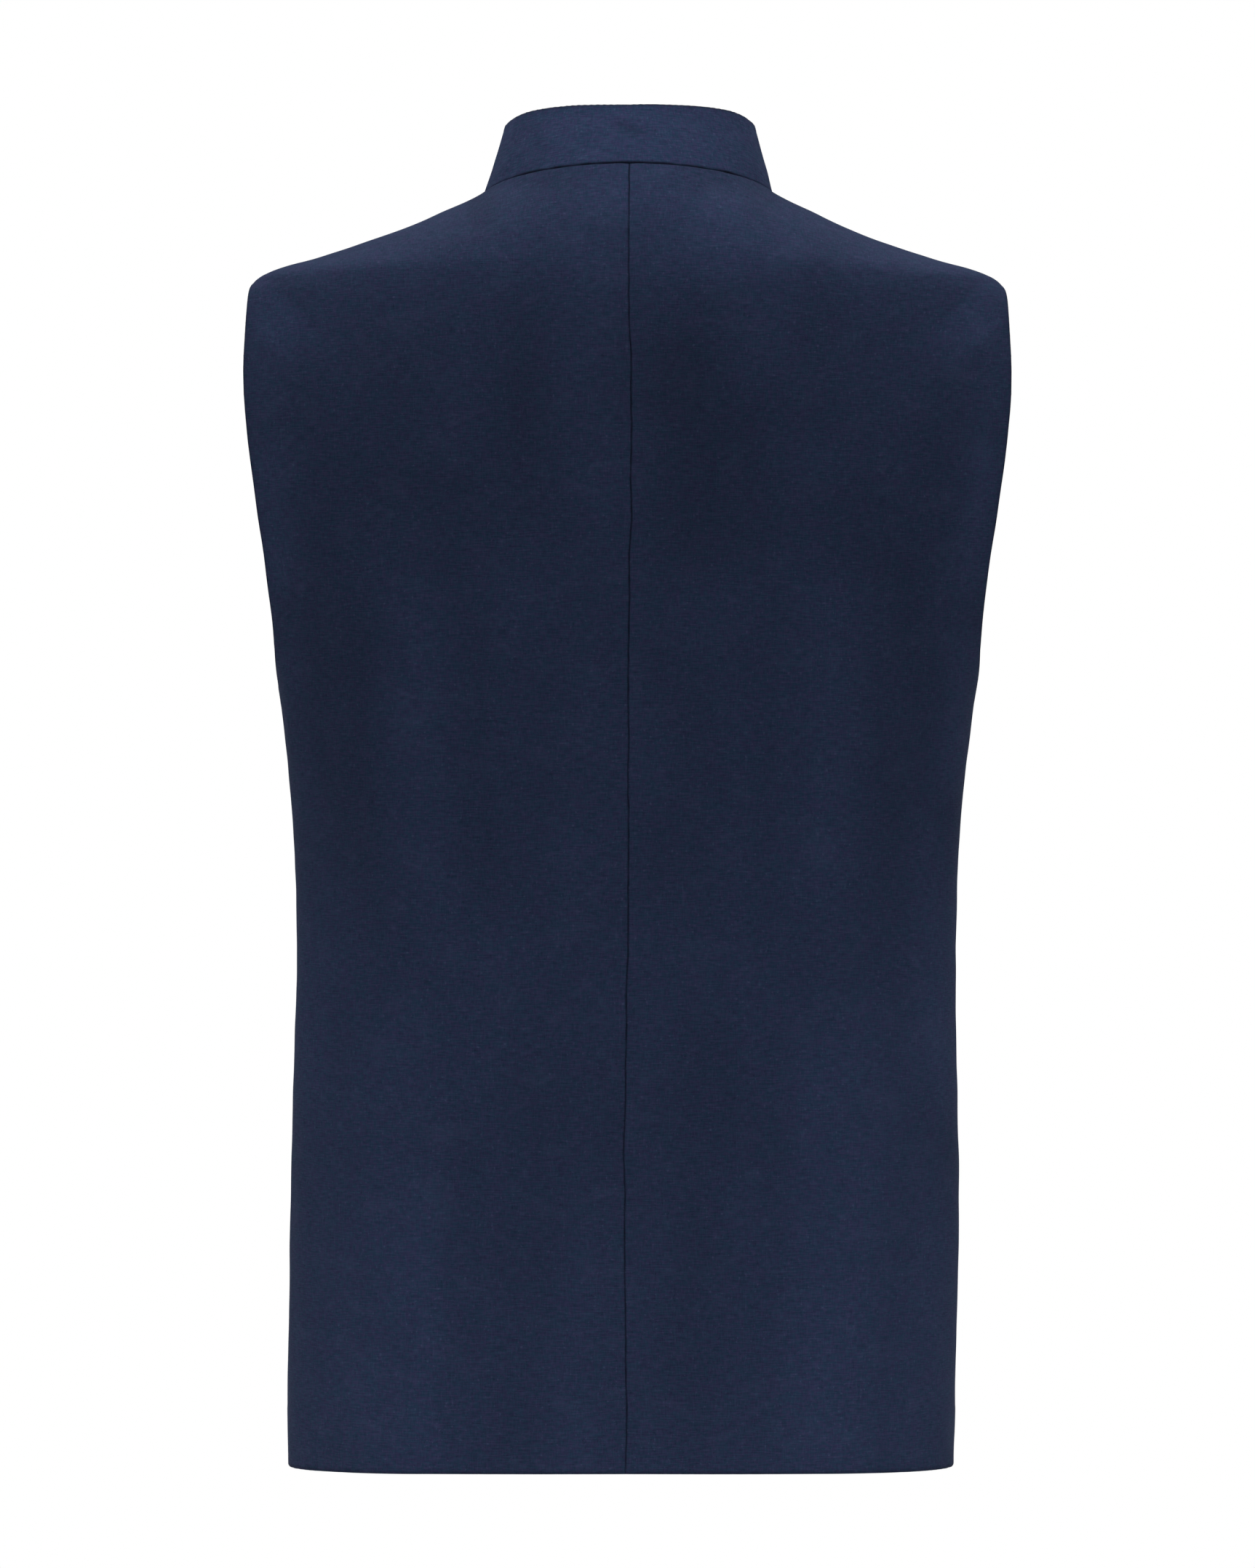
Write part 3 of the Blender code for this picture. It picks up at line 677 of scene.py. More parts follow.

# Painted light and shade on the back: where the cloth's colour is made paler (positive) or darker, in tenths,
# to stand in for light and shade: paler along ridges and down the sides, darker in the hollows.
#   x1, z1, x2, z2, half width, tone
BACK_PAINTED_SHADING = (
    (113.0, -150.0, 117.0, -400.0, 15.0, 0.6),
    (-106.0, -150.0, -110.0, -392.0, 15.0, 0.8),
    (142.0, -210.0, 140.0, -400.0, 9.0, -0.7),
    (170.0, -180.0, 163.0, -330.0, 14.0, -0.5),
    (-152.0, -180.0, -150.0, -350.0, 14.0, -0.6),
    (82.0, -200.0, 80.0, -400.0, 10.0, -0.8),
    (-70.0, -230.0, -74.0, -400.0, 9.0, -0.5),
    (120.0, -60.0, 110.0, -170.0, 30.0, -0.8),
    (-112.0, -60.0, -106.0, -150.0, 28.0, -0.7),
    (58.0, -50.0, 55.0, -190.0, 13.0, -1.4),
    (-28.0, -60.0, -36.0, -215.0, 19.0, -2.0),
    (-62.0, -110.0, -64.0, -200.0, 14.0, -0.9),
    (-48.0, -4.0, -52.0, -56.0, 16.0, 1.5),
    (30.0, -2.0, 24.0, -52.0, 16.0, 0.8),
    (32.0, -3.0, -32.0, -3.0, 12.0, 1.3),
    (88.0, -8.0, 70.0, -6.0, 12.0, -1.3),
    (-62.0, -6.0, -80.0, -8.0, 12.0, -1.1),
    (198.0, -70.0, 201.0, -130.0, 11.0, 1.8),
    (-196.0, -70.0, -199.0, -130.0, 11.0, 1.6),
    (128.0, -425.0, 134.0, -710.0, 30.0, 1.75),
    (-116.0, -415.0, -122.0, -710.0, 27.0, 1.75),
    (48.0, -440.0, 50.0, -710.0, 32.0, -1.0),
    (-44.0, -430.0, -42.0, -710.0, 30.0, -1.2),
    (88.0, -480.0, 91.0, -690.0, 7.0, -0.6),
    (-84.0, -440.0, -83.0, -600.0, 7.0, -0.6),
    (24.0, -560.0, 30.0, -700.0, 12.0, 0.6),
    (197.0, -130.0, 189.0, -225.0, 10.0, 3.9),
    (-194.0, -130.0, -187.0, -225.0, 9.0, 3.3),
    (180.0, -62.0, 199.0, -80.0, 20.0, 2.6),
    (-178.0, -62.0, -196.0, -80.0, 20.0, 2.9),
    (150.0, -365.0, 150.0, -430.0, 15.0, 0.9),
    (-30.0, -235.0, -32.0, -400.0, 26.0, -0.8),
    (50.0, -240.0, 52.0, -400.0, 15.0, -0.7),
    (100.0, -150.0, 98.0, -215.0, 24.0, -0.8),
    (-112.0, -150.0, -112.0, -215.0, 26.0, -1.0),
    (-14.0, -85.0, -22.0, -125.0, 22.0, -0.8),
)

# Painted light down both sides, on the back and the front alike: the colour made paler there.
SIDE_PAINTED_LIGHT = (
    (177.0, -385.0, 181.0, -710.0, 16.0, 2.1),
    (-170.0, -385.0, -176.0, -710.0, 16.0, 1.9),
    (189.0, -235.0, 178.0, -350.0, 9.0, 2.2),
    (-185.0, -235.0, -178.0, -330.0, 9.0, 2.6),
    (178.0, -335.0, 179.0, -500.0, 14.0, 2.5),
    (-172.0, -335.0, -173.0, -500.0, 15.0, 2.6),
    (178.0, -520.0, 180.0, -710.0, 14.0, 0.7),
    (-172.0, -520.0, -174.0, -710.0, 14.0, 0.7),
)

ROUND = 0.8  # radius to which a seamed edge turns under
TURNED = 0.95  # radius of a turned edge: armhole, hem, front edge


def turn_under(e, radius):
    """How far a rounded edge has dropped at distance e from it."""
    t = np.clip(1 - e / radius, 0, 1)
    return radius * (1 - np.sqrt(1 - t * t))


def grain(phi, z, front):
    """Places on the flat cloth, in metres: across from the middle of the back
    or front, and up from the hem, for a weave that runs straight."""
    p = on_ring(phi, z, front)
    levels = np.arange(-720.0, 21.0, 4.0)
    turns = np.linspace(0, math.pi / 2, 91)
    arcs = []
    for level in levels:
        q = on_ring(turns, np.full(91, level), front)
        arcs.append(np.append(0, np.cumsum(np.linalg.norm(np.diff(q, axis=0), axis=1))))
    arcs = np.array(arcs)
    row = np.clip((z - levels[0]) / 4.0, 0, len(levels) - 1.001)
    col = np.clip(np.abs(phi) / (math.pi / 2) * 90, 0, 89.999)
    i, j = row.astype(int), col.astype(int)
    a, b = row - i, col - j
    round_body = (1 - a) * ((1 - b) * arcs[i, j] + b * arcs[i, j + 1]) + a * (
        (1 - b) * arcs[i + 1, j] + b * arcs[i + 1, j + 1]
    )
    # Above the arms the cross threads run straight over the shoulder
    x = np.abs(p[..., 0])
    half, _, power = ring(np.array([-100.0]), front)
    at = on_ring(turns, np.full(91, -100.0), front)[:, 0]
    over = np.interp(x, at, arcs[int((-100.0 - levels[0]) / 4.0)])
    share = ease((-z) / 110.0)
    over = x + (over - x) * share
    across = np.where(z < -100.0, round_body, over) * np.sign(phi + 1e-12)
    depth = back_depth if not front else front_depth
    line = depth(levels)
    up = np.append(0, np.cumsum(np.hypot(4.0, np.diff(line))))
    height = np.interp(z, levels, up)
    # Up the slope of the shoulder, measured in the plane of constant x
    base = np.interp(-100.0, levels, up)
    steps = 36
    total = np.zeros(z.shape)
    top = np.maximum(z, -100.0)
    last = None
    for k in range(steps + 1):
        level = -100.0 + (top + 100.0) * k / steps
        half, deep, power = ring(level, front)
        y = deep * np.clip(1 - np.clip(x / half, 0, 1) ** power, 0, 1) ** (1 / power)
        if last is not None:
            total += np.hypot(level - last[0], y - last[1])
        last = (level, y)
    height = np.where(z > -100.0, base + total, height)
    return np.stack([across, height], -1) * MM


def mesh_of(name, verts, faces, uvs, material, marks):
    """A smooth shaded mesh object in metres, with its cloth map, and with each
    mark as a number at every point."""
    mesh = bpy.data.meshes.new(name)
    mesh.from_pydata((np.asarray(verts) * MM).tolist(), [], faces)
    mesh.materials.append(material)
    mesh.shade_smooth()
    if uvs is not None:
        loops = np.empty(len(mesh.loops), np.int32)
        mesh.loops.foreach_get("vertex_index", loops)
        layer = mesh.uv_layers.new(name="cloth")
        layer.uv.foreach_set("vector", uvs[loops].astype(np.float32).ravel())
    for mark, values in marks.items():
        layer = mesh.attributes.new(mark, "FLOAT", "POINT")
        layer.data.foreach_set("value", values.astype(np.float32))
    mesh.update()
    obj = bpy.data.objects.new(name, mesh)
    bpy.context.scene.collection.objects.link(obj)
    return obj


def shell(name, outer, inner, uv, flip, material, marks):
    """A closed piece of cloth between two grids of points, joined round the
    edge."""
    rows, cols = outer.shape[:2]
    count = rows * cols
    index = np.arange(count).reshape(rows, cols)
    quads = np.stack(
        [index[:-1, :-1], index[1:, :-1], index[1:, 1:], index[:-1, 1:]], -1
    ).reshape(-1, 4)
    back = quads[:, ::-1] + count
    border = np.concatenate(
        [index[:, 0], index[-1, 1:], index[-2::-1, -1], index[0, -2:0:-1]]
    )
    after = np.roll(border, -1)
    rim = np.stack([after, border, border + count, after + count], -1)
    faces = np.concatenate([quads, back, rim])
    if flip:
        faces = faces[:, ::-1]
    verts = np.concatenate([outer.reshape(-1, 3), inner.reshape(-1, 3)])
    uvs = np.concatenate([uv.reshape(-1, 2)] * 2)
    marks = {
        mark: np.concatenate([values.ravel()] * 2) for mark, values in marks.items()
    }
    return mesh_of(name, verts, faces.tolist(), uvs, material, marks)


def fine_panel(name, front, side, material, seed):
    """One panel with its drape, seams and turned edges."""
    phi, z, neck_share, share = fine_net(front)
    sunk = lap_sink(phi, z) if front and side < 0 else np.zeros(z.shape)
    lift = fold_lift(phi, z, front, side) - sunk
    base = on_ring(phi, z, front)
    normal = outward(phi, z, front)
    x = base[..., 0] * side
    edge = edges_of(base, neck_share, share)
    uv = grain(phi, z, front)

    # Soft drape, faded out beside every seam so that neighbours meet
    seams = np.minimum(edge["side"], edge["shoulder"])
    seams = np.minimum(seams, edge["neck"])
    calm = ease(seams / 14.0)
    if front:
        calm = calm * (1 - 0.75 * ease((42.0 - np.abs(x)) / 30.0))
    drape = pressed((x, z), FRONT_DRAPE if front else BACK_DRAPE)
    across, up = uv[..., 0] / MM * side, uv[..., 1] / MM
    soft = 0.55 * waves(across, up * 0.45, 62.0, seed)
    soft += 0.16 * waves(across, up * 0.6, 24.0, seed + 1)
    middle = ease(edge["middle"] / 16.0)
    lift = lift + (drape + soft * middle) * calm

    # A sewn seam sinks a little and puckers; the same on both of its sides
    for line, seed_line, deep, pucker in (
        ("middle", 5, 0.55, 0.20),
        ("side", 6, 0.5, 0.18),
        ("shoulder", 7, 0.35, 0.10),
        ("neck", 8, 0.35, 0.10),
    ):
        if front and line == "middle":
            continue
        e = edge[line]
        along = np.abs(x) if line in ("shoulder", "neck") else z
        ripple = waves(along, 0 * along, 15.0, seed_line, 7)
        lift -= deep * np.exp(-e / 3.2)
        lift += pucker * ripple * np.exp(-e / 9.0)
    # The seam allowance turned inside shows as a faint rib along each edge
    for line, wide in (("armhole", 9.0), ("hem", 32.0)) + (
        (("middle", 26.0),) if front else ()
    ):
        e = edge[line]
        lift += 0.13 * ease((wide + 1.2 - e) / 2.4)
    ripple = waves(z, 0 * z, 22.0, 11, 7)
    lift += 0.22 * ripple * np.exp(-edge["armhole"] / 7.0) * calm

    # Rounded edges
    seamed = np.minimum(edge["side"], edge["shoulder"])
    if not front:
        seamed = np.minimum(seamed, edge["middle"])
    turned = np.minimum(edge["armhole"], edge["hem"])
    if front:
        turned = np.minimum(turned, edge["middle"])
    drop = np.maximum(turn_under(seamed, ROUND), turn_under(turned, TURNED))
    drop = np.maximum(drop, turn_under(edge["neck"], 1.15))
    wall = np.full(z.shape, PANEL_WALL)
    outer = base + (lift - drop)[..., None] * normal
    back = np.minimum(drop * 0.9, wall - drop - 0.2)
    inner = base + (lift - wall + back)[..., None] * normal
    outer = settled(outer * [side, 1, 1])
    inner = settled(inner * [side, 1, 1])
    if not front:
        wander = 0.42 * waves(z, 0 * z, 48.0, 15, 9) + 0.16 * waves(z, 0 * z, 14.0, 16, 7)
        wander *= np.exp(-edge["middle"] / 14.0)
        outer[..., 0] += wander
        inner[..., 0] += wander
    uv[..., 0] *= side
    uv += [0.37 * (seed % 5), 0.53 * (seed % 7)]

    # Painted shade: the colour darkens along the seams, the neckline and the turned edges, where shade falls.
    painted_edge_shade = np.maximum(0.8 * line_at(seamed, 0.5), line_at(edge["neck"], 0.9))
    painted_edge_shade = np.maximum(painted_edge_shade, 0.9 * line_at(turned, 1.4))
    along = np.where(edge["neck"] < edge["middle"], x, z)
    painted_edge_shade *= np.clip(0.86 + 0.30 * waves(along, 0 * along, 9.0, 12, 9), 0.35, 1.15)
    # Painted light and shade: paler along ridges and down the sides, darker in the hollows; on the front it
    # follows the drape. Some random tone is added.
    if front:
        painted_shading_and_tone = 0.6 * drape + pressed((x, z), SIDE_PAINTED_LIGHT)
    else:
        painted_shading_and_tone = pressed((x, z), BACK_PAINTED_SHADING) + pressed((x, z), SIDE_PAINTED_LIGHT)
        painted_edge_shade *= 1 - 0.75 * ease((np.abs(x) - 52.0) / 18.0) * line_at(edge["neck"], 3.0)
    painted_shading_and_tone = painted_shading_and_tone + 0.22 * waves(across, up * 0.35, 46.0, seed + 9)
    marks = {"painted_edge_shade": painted_edge_shade, "painted_shading_and_tone": painted_shading_and_tone}
    return shell(name, outer, inner, uv, flip_for(front, side), material, marks)


def line_at(distance, width):
    """1 at a line, fading out at about this distance from it."""
    return np.exp(-((distance / width) ** 2))


def flip_for(front, side):
    return (side < 0) if front else (side > 0)


# --------------------------------------------------------------- fine collar


def fine_collar(name, material):
    fine = np.linspace(0.0, 180.0, 4000)
    line = neckline(fine)
    ends = np.interp(-COLLAR_END, -line[2000:, 0], fine[2000:])
    line = line[fine <= ends]
    fine = fine[fine <= ends]
    far = np.append(0, np.cumsum(np.linalg.norm(np.diff(line, axis=0), axis=1)))
    at = spread(far[-1], (0.0,), EDGE, 2.2)
    half = np.interp(at, far, fine)
    around = np.concatenate([-half[:0:-1], half])
    distance = np.concatenate([(far[-1] - at)[:0:-1], far[-1] - at])
    long = np.concatenate([-at[:0:-1], at])
    slant = np.hypot(lean_at(np.abs(around)), rise_at(np.abs(around)))
    gone = np.clip(distance, 0, COLLAR_CORNER)
    cut = COLLAR_CORNER - np.sqrt(COLLAR_CORNER**2 - (COLLAR_CORNER - gone) ** 2)
    top = 1 - cut / slant
    tall = spread(35.0, (0.0, 0.15, 0.4, 0.8, 1.2, 1.7, 2.4, 3.4), EDGE, 1.6) / 35.0
    rows = [smooth_collar(around, top * h) for h in tall[::-1]]
    points = np.stack(rows)
    normal = grid_normals(points, True)
    height = tall[::-1, None] * top[None] * slant[None]
    reach = np.broadcast_to(long[None], height.shape)
    boundary = np.concatenate([points[0], points[:, 0], points[:, -1]])
    above = near(np.concatenate([dense(points[0]), dense(points[:, 0]), dense(points[:, -1])]), points)
    below = near(dense(points[-1]), points)

    # A stiffened band: nearly even, with faint dents and a pressed rib on top
    lift = 0.22 * waves(reach, height * 1.5, 34.0, 21)
    lift += 0.07 * waves(reach, height, 12.0, 22)
    dent = np.exp(-(((reach + 2.0) / 8.0) ** 2) - ((height - 19.0) / 4.0) ** 2)
    dent += 0.6 * np.exp(-(((reach - 5.0) / 5.0) ** 2) - ((height - 23.0) / 2.5) ** 2)
    lift -= 0.75 * dent
    lift += 0.18 * ease((5.0 - above) / 2.0)
    lift *= ease(below / 5.0)
    lift += 0.12 * waves(reach, 0 * reach, 13.0, 8, 7) * np.exp(-below / 6.0)
    drop = np.maximum(turn_under(above, 1.35), turn_under(below, 1.15))
    outer = points + (lift - drop)[..., None] * normal
    inner = points + (lift - COLLAR_WALL + drop)[..., None] * normal
    uv = np.stack([reach, height], -1) * MM + [1.31, 2.17]
    # Painted shade: the colour darkens along the collar's seam and round its top edge.
    painted_edge_shade = line_at(np.maximum(below + COLLAR_GAP, 0.0), 0.7)
    painted_edge_shade *= np.clip(0.86 + 0.30 * waves(reach, 0 * reach, 9.0, 13, 9), 0.35, 1.15)
    painted_edge_shade *= 1 - 0.75 * ease((np.abs(reach) - 60.0) / 20.0) * ease((118.0 - np.abs(reach)) / 20.0)
    painted_edge_shade = np.maximum(painted_edge_shade, line_at(above, 1.3))
    # Painted shade in the dent, and darker from about 42 to 150 mm round from the centre back, over a little
    # random tone.
    painted_shading_and_tone = 0.3 * waves(reach, height, 26.0, 23) - 2.2 * dent
    painted_shading_and_tone -= 0.9 * ease((np.abs(reach) - 42.0) / 30.0) * ease((150.0 - np.abs(reach)) / 40.0)
    marks = {"painted_edge_shade": painted_edge_shade, "painted_shading_and_tone": painted_shading_and_tone}
    return shell(name, outer, inner, uv, True, material, marks)


def smooth_collar(around, height):
    """The collar's outer face, as collar_face has it, on the smooth neckline."""
    a = np.abs(around)
    flow = neckline(np.minimum(a + 0.5, 180.0)) - neckline(np.maximum(a - 0.5, 0.0))
    inward = np.stack([flow[..., 1], -flow[..., 0], np.zeros(a.shape)], -1)
    inward /= np.linalg.norm(inward, axis=-1, keepdims=True)
    p = neckline(a) + (lean_at(a) * height)[..., None] * inward
    p[..., 2] += COLLAR_GAP * (1.0 - height) + rise_at(a) * height
    p[..., 0] *= np.where(around < 0, -1.0, 1.0)
    return settled(p)


# ----------------------------------------------------- buttons and stitching


def turned_profile(rows, times=2):
    """A profile with its corners cut, so that it turns smoothly."""
    p = np.array(rows, float)
    for _ in range(times):
        a, b = p[:-1], p[1:]
        cut = np.stack([0.75 * a + 0.25 * b, 0.25 * a + 0.75 * b], 1).reshape(-1, 2)
        p = np.concatenate([p[:1], cut[1:-1], p[-1:]])
    return p


def lathe(bm, profile, steps, at=(0.0, 0.0)):
    """A turned solid on the z axis through at; the profile starts and ends on
    the axis."""
    rings = []
    for r, h in profile:
        if r < 1e-6:
            rings.append([bm.verts.new((at[0] * MM, at[1] * MM, h * MM))])
            continue
        rings.append(
            [
                bm.verts.new(
                    (
                        (at[0] + r * math.cos(math.tau * k / steps)) * MM,
                        (at[1] + r * math.sin(math.tau * k / steps)) * MM,
                        h * MM,
                    )
                )
                for k in range(steps)
            ]
        )
    for low, high in zip(rings[:-1], rings[1:]):
        for k in range(steps):
            m = (k + 1) % steps
            if len(low) == 1 and len(high) == 1:
                continue
            if len(low) == 1:
                bm.faces.new([low[0], high[m], high[k]])
            elif len(high) == 1:
                bm.faces.new([low[k], low[m], high[0]])
            else:
                bm.faces.new([low[k], low[m], high[m], high[k]])
    bmesh.ops.recalc_face_normals(bm, faces=bm.faces)


def turned_object(name, profile, steps, places=((0.0, 0.0),)):
    bm = bmesh.new()
    for at in places:
        lathe(bm, profile, steps, at)
    for face in bm.faces:
        face.smooth = True
    mesh = bpy.data.meshes.new(name)
    bm.to_mesh(mesh)
    bm.free()
    obj = bpy.data.objects.new(name, mesh)
    bpy.context.scene.collection.objects.link(obj)
    return obj


def button_mesh():
    """The turned button with its four countersunk holes, as one mesh."""
    profile = turned_profile(BUTTON_PROFILE)
    body = turned_object("button_body", profile, 72)
    holes = [
        (sx * HOLE_OFF, sy * HOLE_OFF) for sx in (-1, 1) for sy in (-1, 1)
    ]
    pin = ((0.0, -3.0), (0.9, -3.0), (0.9, 1.45), (0.98, 1.68), (1.3, 2.05), (1.3, 4.0), (0.0, 4.0))
    cutter = turned_object("button_cutter", pin, 28, holes)
    bore = body.modifiers.new("holes", "BOOLEAN")
    bore.operation = "DIFFERENCE"
    bore.solver = "EXACT"
    bore.object = cutter
    graph = bpy.context.evaluated_depsgraph_get()
    graph.update()
    mesh = bpy.data.meshes.new_from_object(body.evaluated_get(graph))
    for obj in (body, cutter):
        old = obj.data
        bpy.data.objects.remove(obj)
        bpy.data.meshes.remove(old)
    mesh.name = "button"
    return mesh


def button_place(z):
    """The button's place on the smooth form, as the CAD has it."""
    at, middle = np.array([float(z)]), np.zeros(1)
    point = cloth(middle, at, True, 1)[0]
    normal = outward(middle, at, True)[0]
    return point + BUTTON_GAP * normal, normal


def tube(verts, faces, path, radius, sides=7, ends=True):
    """Adds a closed tube round a path of points to lists of vertices and
    faces."""
    path = np.asarray(path, float)
    flow = np.gradient(path, axis=0)
    flow /= np.linalg.norm(flow, axis=1, keepdims=True)
    guide = np.array([0.0, 0.0, 1.0])
    if abs(flow[0] @ guide) > 0.9:
        guide = np.array([1.0, 0.0, 0.0])
    start = len(verts)
    radius = np.broadcast_to(radius, len(path))
    for p, d, r in zip(path, flow, radius):
        a = np.cross(d, guide)
        a /= np.linalg.norm(a)
        b = np.cross(d, a)
        for k in range(sides):
            t = math.tau * k / sides
            verts.append(p + r * (math.cos(t) * a + math.sin(t) * b))
    for i in range(len(path) - 1):
        for k in range(sides):
            m = (k + 1) % sides
            q = start + i * sides
            faces.append([q + k, q + m, q + sides + m, q + sides + k])
    if ends:
        faces.append([start + k for k in range(sides)][::-1])
        q = start + (len(path) - 1) * sides
        faces.append([q + k for k in range(sides)])


def thread_object(name, verts, faces, material):
    mesh = bpy.data.meshes.new(name)
    mesh.from_pydata((np.array(verts) * MM).tolist(), [], faces)
    mesh.materials.append(material)
    bm = bmesh.new()
    bm.from_mesh(mesh)
    bmesh.ops.recalc_face_normals(bm, faces=bm.faces)
    bm.to_mesh(mesh)
    bm.free()
    mesh.shade_smooth()
    obj = bpy.data.objects.new(name, mesh)
    bpy.context.scene.collection.objects.link(obj)
    return obj


def button_thread(z, material, name):
    """Two bars of thread through the four holes, and the shank under them."""
    verts, faces = [], []
    origin, normal = button_place(z)
    across = np.array([1.0, 0.0, 0.0])
    up = np.cross(normal, across)
    rng = np.random.default_rng(int(-z))

    def at(x, y, h):
        return origin + x * across + y * up + h * normal

    for y in (-HOLE_OFF, HOLE_OFF):
        for strand in range(4):
            off = (strand - 1.5) * 0.30 + rng.uniform(-0.05, 0.05)
            high = 0.34 + rng.uniform(-0.05, 0.08)
            path = []
            for t in np.linspace(-1, 1, 15):
                x = HOLE_OFF * 1.06 * np.sign(t) * abs(t) ** 0.8
                h = 1.9 + high - (high + 1.1) * abs(t) ** 5
                path.append(at(x, y + off * (1 - 0.25 * t * t), h))
            tube(verts, faces, path, 0.19, 7)
    for k in range(5):
        t = math.tau * k / 5
        x, y = 0.8 * math.cos(t), 0.8 * math.sin(t)
        tube(verts, faces, [at(x, y, h) for h in (-1.2, -0.5, 0.2, 0.6)], 0.5, 8)
    return thread_object(name, verts, faces, material)


def on_surface(tree, x, z):
    """The place and normal where a front is met from straight ahead."""
    hit = tree.ray_cast(Vector((x * MM, -1.0, z * MM)), Vector((0.0, 1.0, 0.0)))
    return np.array(hit[0]) / MM, np.array(hit[1])


def buttonhole(tree, z, material, name):
    """A worked buttonhole: close stitches each side of the slit, a fan round
    the button's end and a bar across the other."""
    verts, faces = [], []
    rng = np.random.default_rng(int(-z) + 7)
    x0, x1 = -3.0, 15.0

    def stitch(a, b, wide=0.27, high=0.30):
        path = []
        for t, h in ((0.0, -0.25), (0.12, high * 0.7), (0.5, high), (0.88, high * 0.7), (1.0, -0.25)):
            x, level = a[0] + (b[0] - a[0]) * t, a[1] + (b[1] - a[1]) * t
            p, n = on_surface(tree, x, level)
            path.append(p + n * h)
        tube(verts, faces, path, wide, 6)

    for x in np.arange(x0 + 1.2, x1 - 0.3, 0.52):
        for s in (-1, 1):
            shift = rng.uniform(-0.07, 0.07)
            out = 2.05 + rng.uniform(-0.12, 0.12)
            stitch((x + shift, z + s * 0.22), (x + shift, z + s * out))
    for t in np.linspace(-80, 80, 9):
        c, s = math.cos(math.radians(t)), math.sin(math.radians(t))
        stitch(
            (x0 + 1.1 - 0.25 * c, z + 0.25 * s), (x0 + 1.1 - 2.0 * c, z + 2.0 * s)
        )
    for x in (x1 - 0.15, x1 + 0.3, x1 + 0.75):
        stitch((x, z - 2.2), (x, z + 2.2), 0.3, 0.42)
    return thread_object(name, verts, faces, material)


# ------------------------------------------------------------------ materials


class Tree:
    """Short calls for making a material's nodes."""

    def __init__(self, name):
        self.material = bpy.data.materials.new(name)
        self.material.use_nodes = True
        self.tree = self.material.node_tree
        self.shader = self.tree.nodes["Principled BSDF"]

    def node(self, kind, inputs=None, **settings):
        made = self.tree.nodes.new(kind)
        for key, value in settings.items():
            setattr(made, key, value)
        for key, value in (inputs or {}).items():
            socket = made.inputs[key]
            if isinstance(value, bpy.types.NodeSocket):
                self.tree.links.new(value, socket)
            else:
                socket.default_value = value
        return made

    def math(self, operation, a, b=0.0, c=0.0):
        made = self.node("ShaderNodeMath", {0: a, 1: b, 2: c}, operation=operation)
        return made.outputs[0]

    def scaled(self, vector, by):
        return self.node(
            "ShaderNodeVectorMath", {0: vector, 1: by}, operation="MULTIPLY"
        ).outputs[0]

    def noise(self, vector, scale=1.0, detail=2.0, rough=0.5, warp=0.0):
        return self.node(
            "ShaderNodeTexNoise",
            {
                "Vector": vector,
                "Scale": scale,
                "Detail": detail,
                "Roughness": rough,
                "Distortion": warp,
            },
        ).outputs["Fac"]

    def fit(self, value, a, b, c, d):
        return self.node(
            "ShaderNodeMapRange",
            {"Value": value, "From Min": a, "From Max": b, "To Min": c, "To Max": d},
        ).outputs[0]

    def mix(self, factor, a, b, blend="MIX"):
        made = self.node(
            "ShaderNodeMix",
            {0: factor, 6: a, 7: b},
            data_type="RGBA",
            blend_type=blend,
            clamp_factor=True,
        )
        return made.outputs[2]

    def link(self, value, socket):
        self.tree.links.new(value, self.shader.inputs[socket])

    def set(self, **values):
        for key, value in values.items():
            self.shader.inputs[key.replace("_", " ")].default_value = value


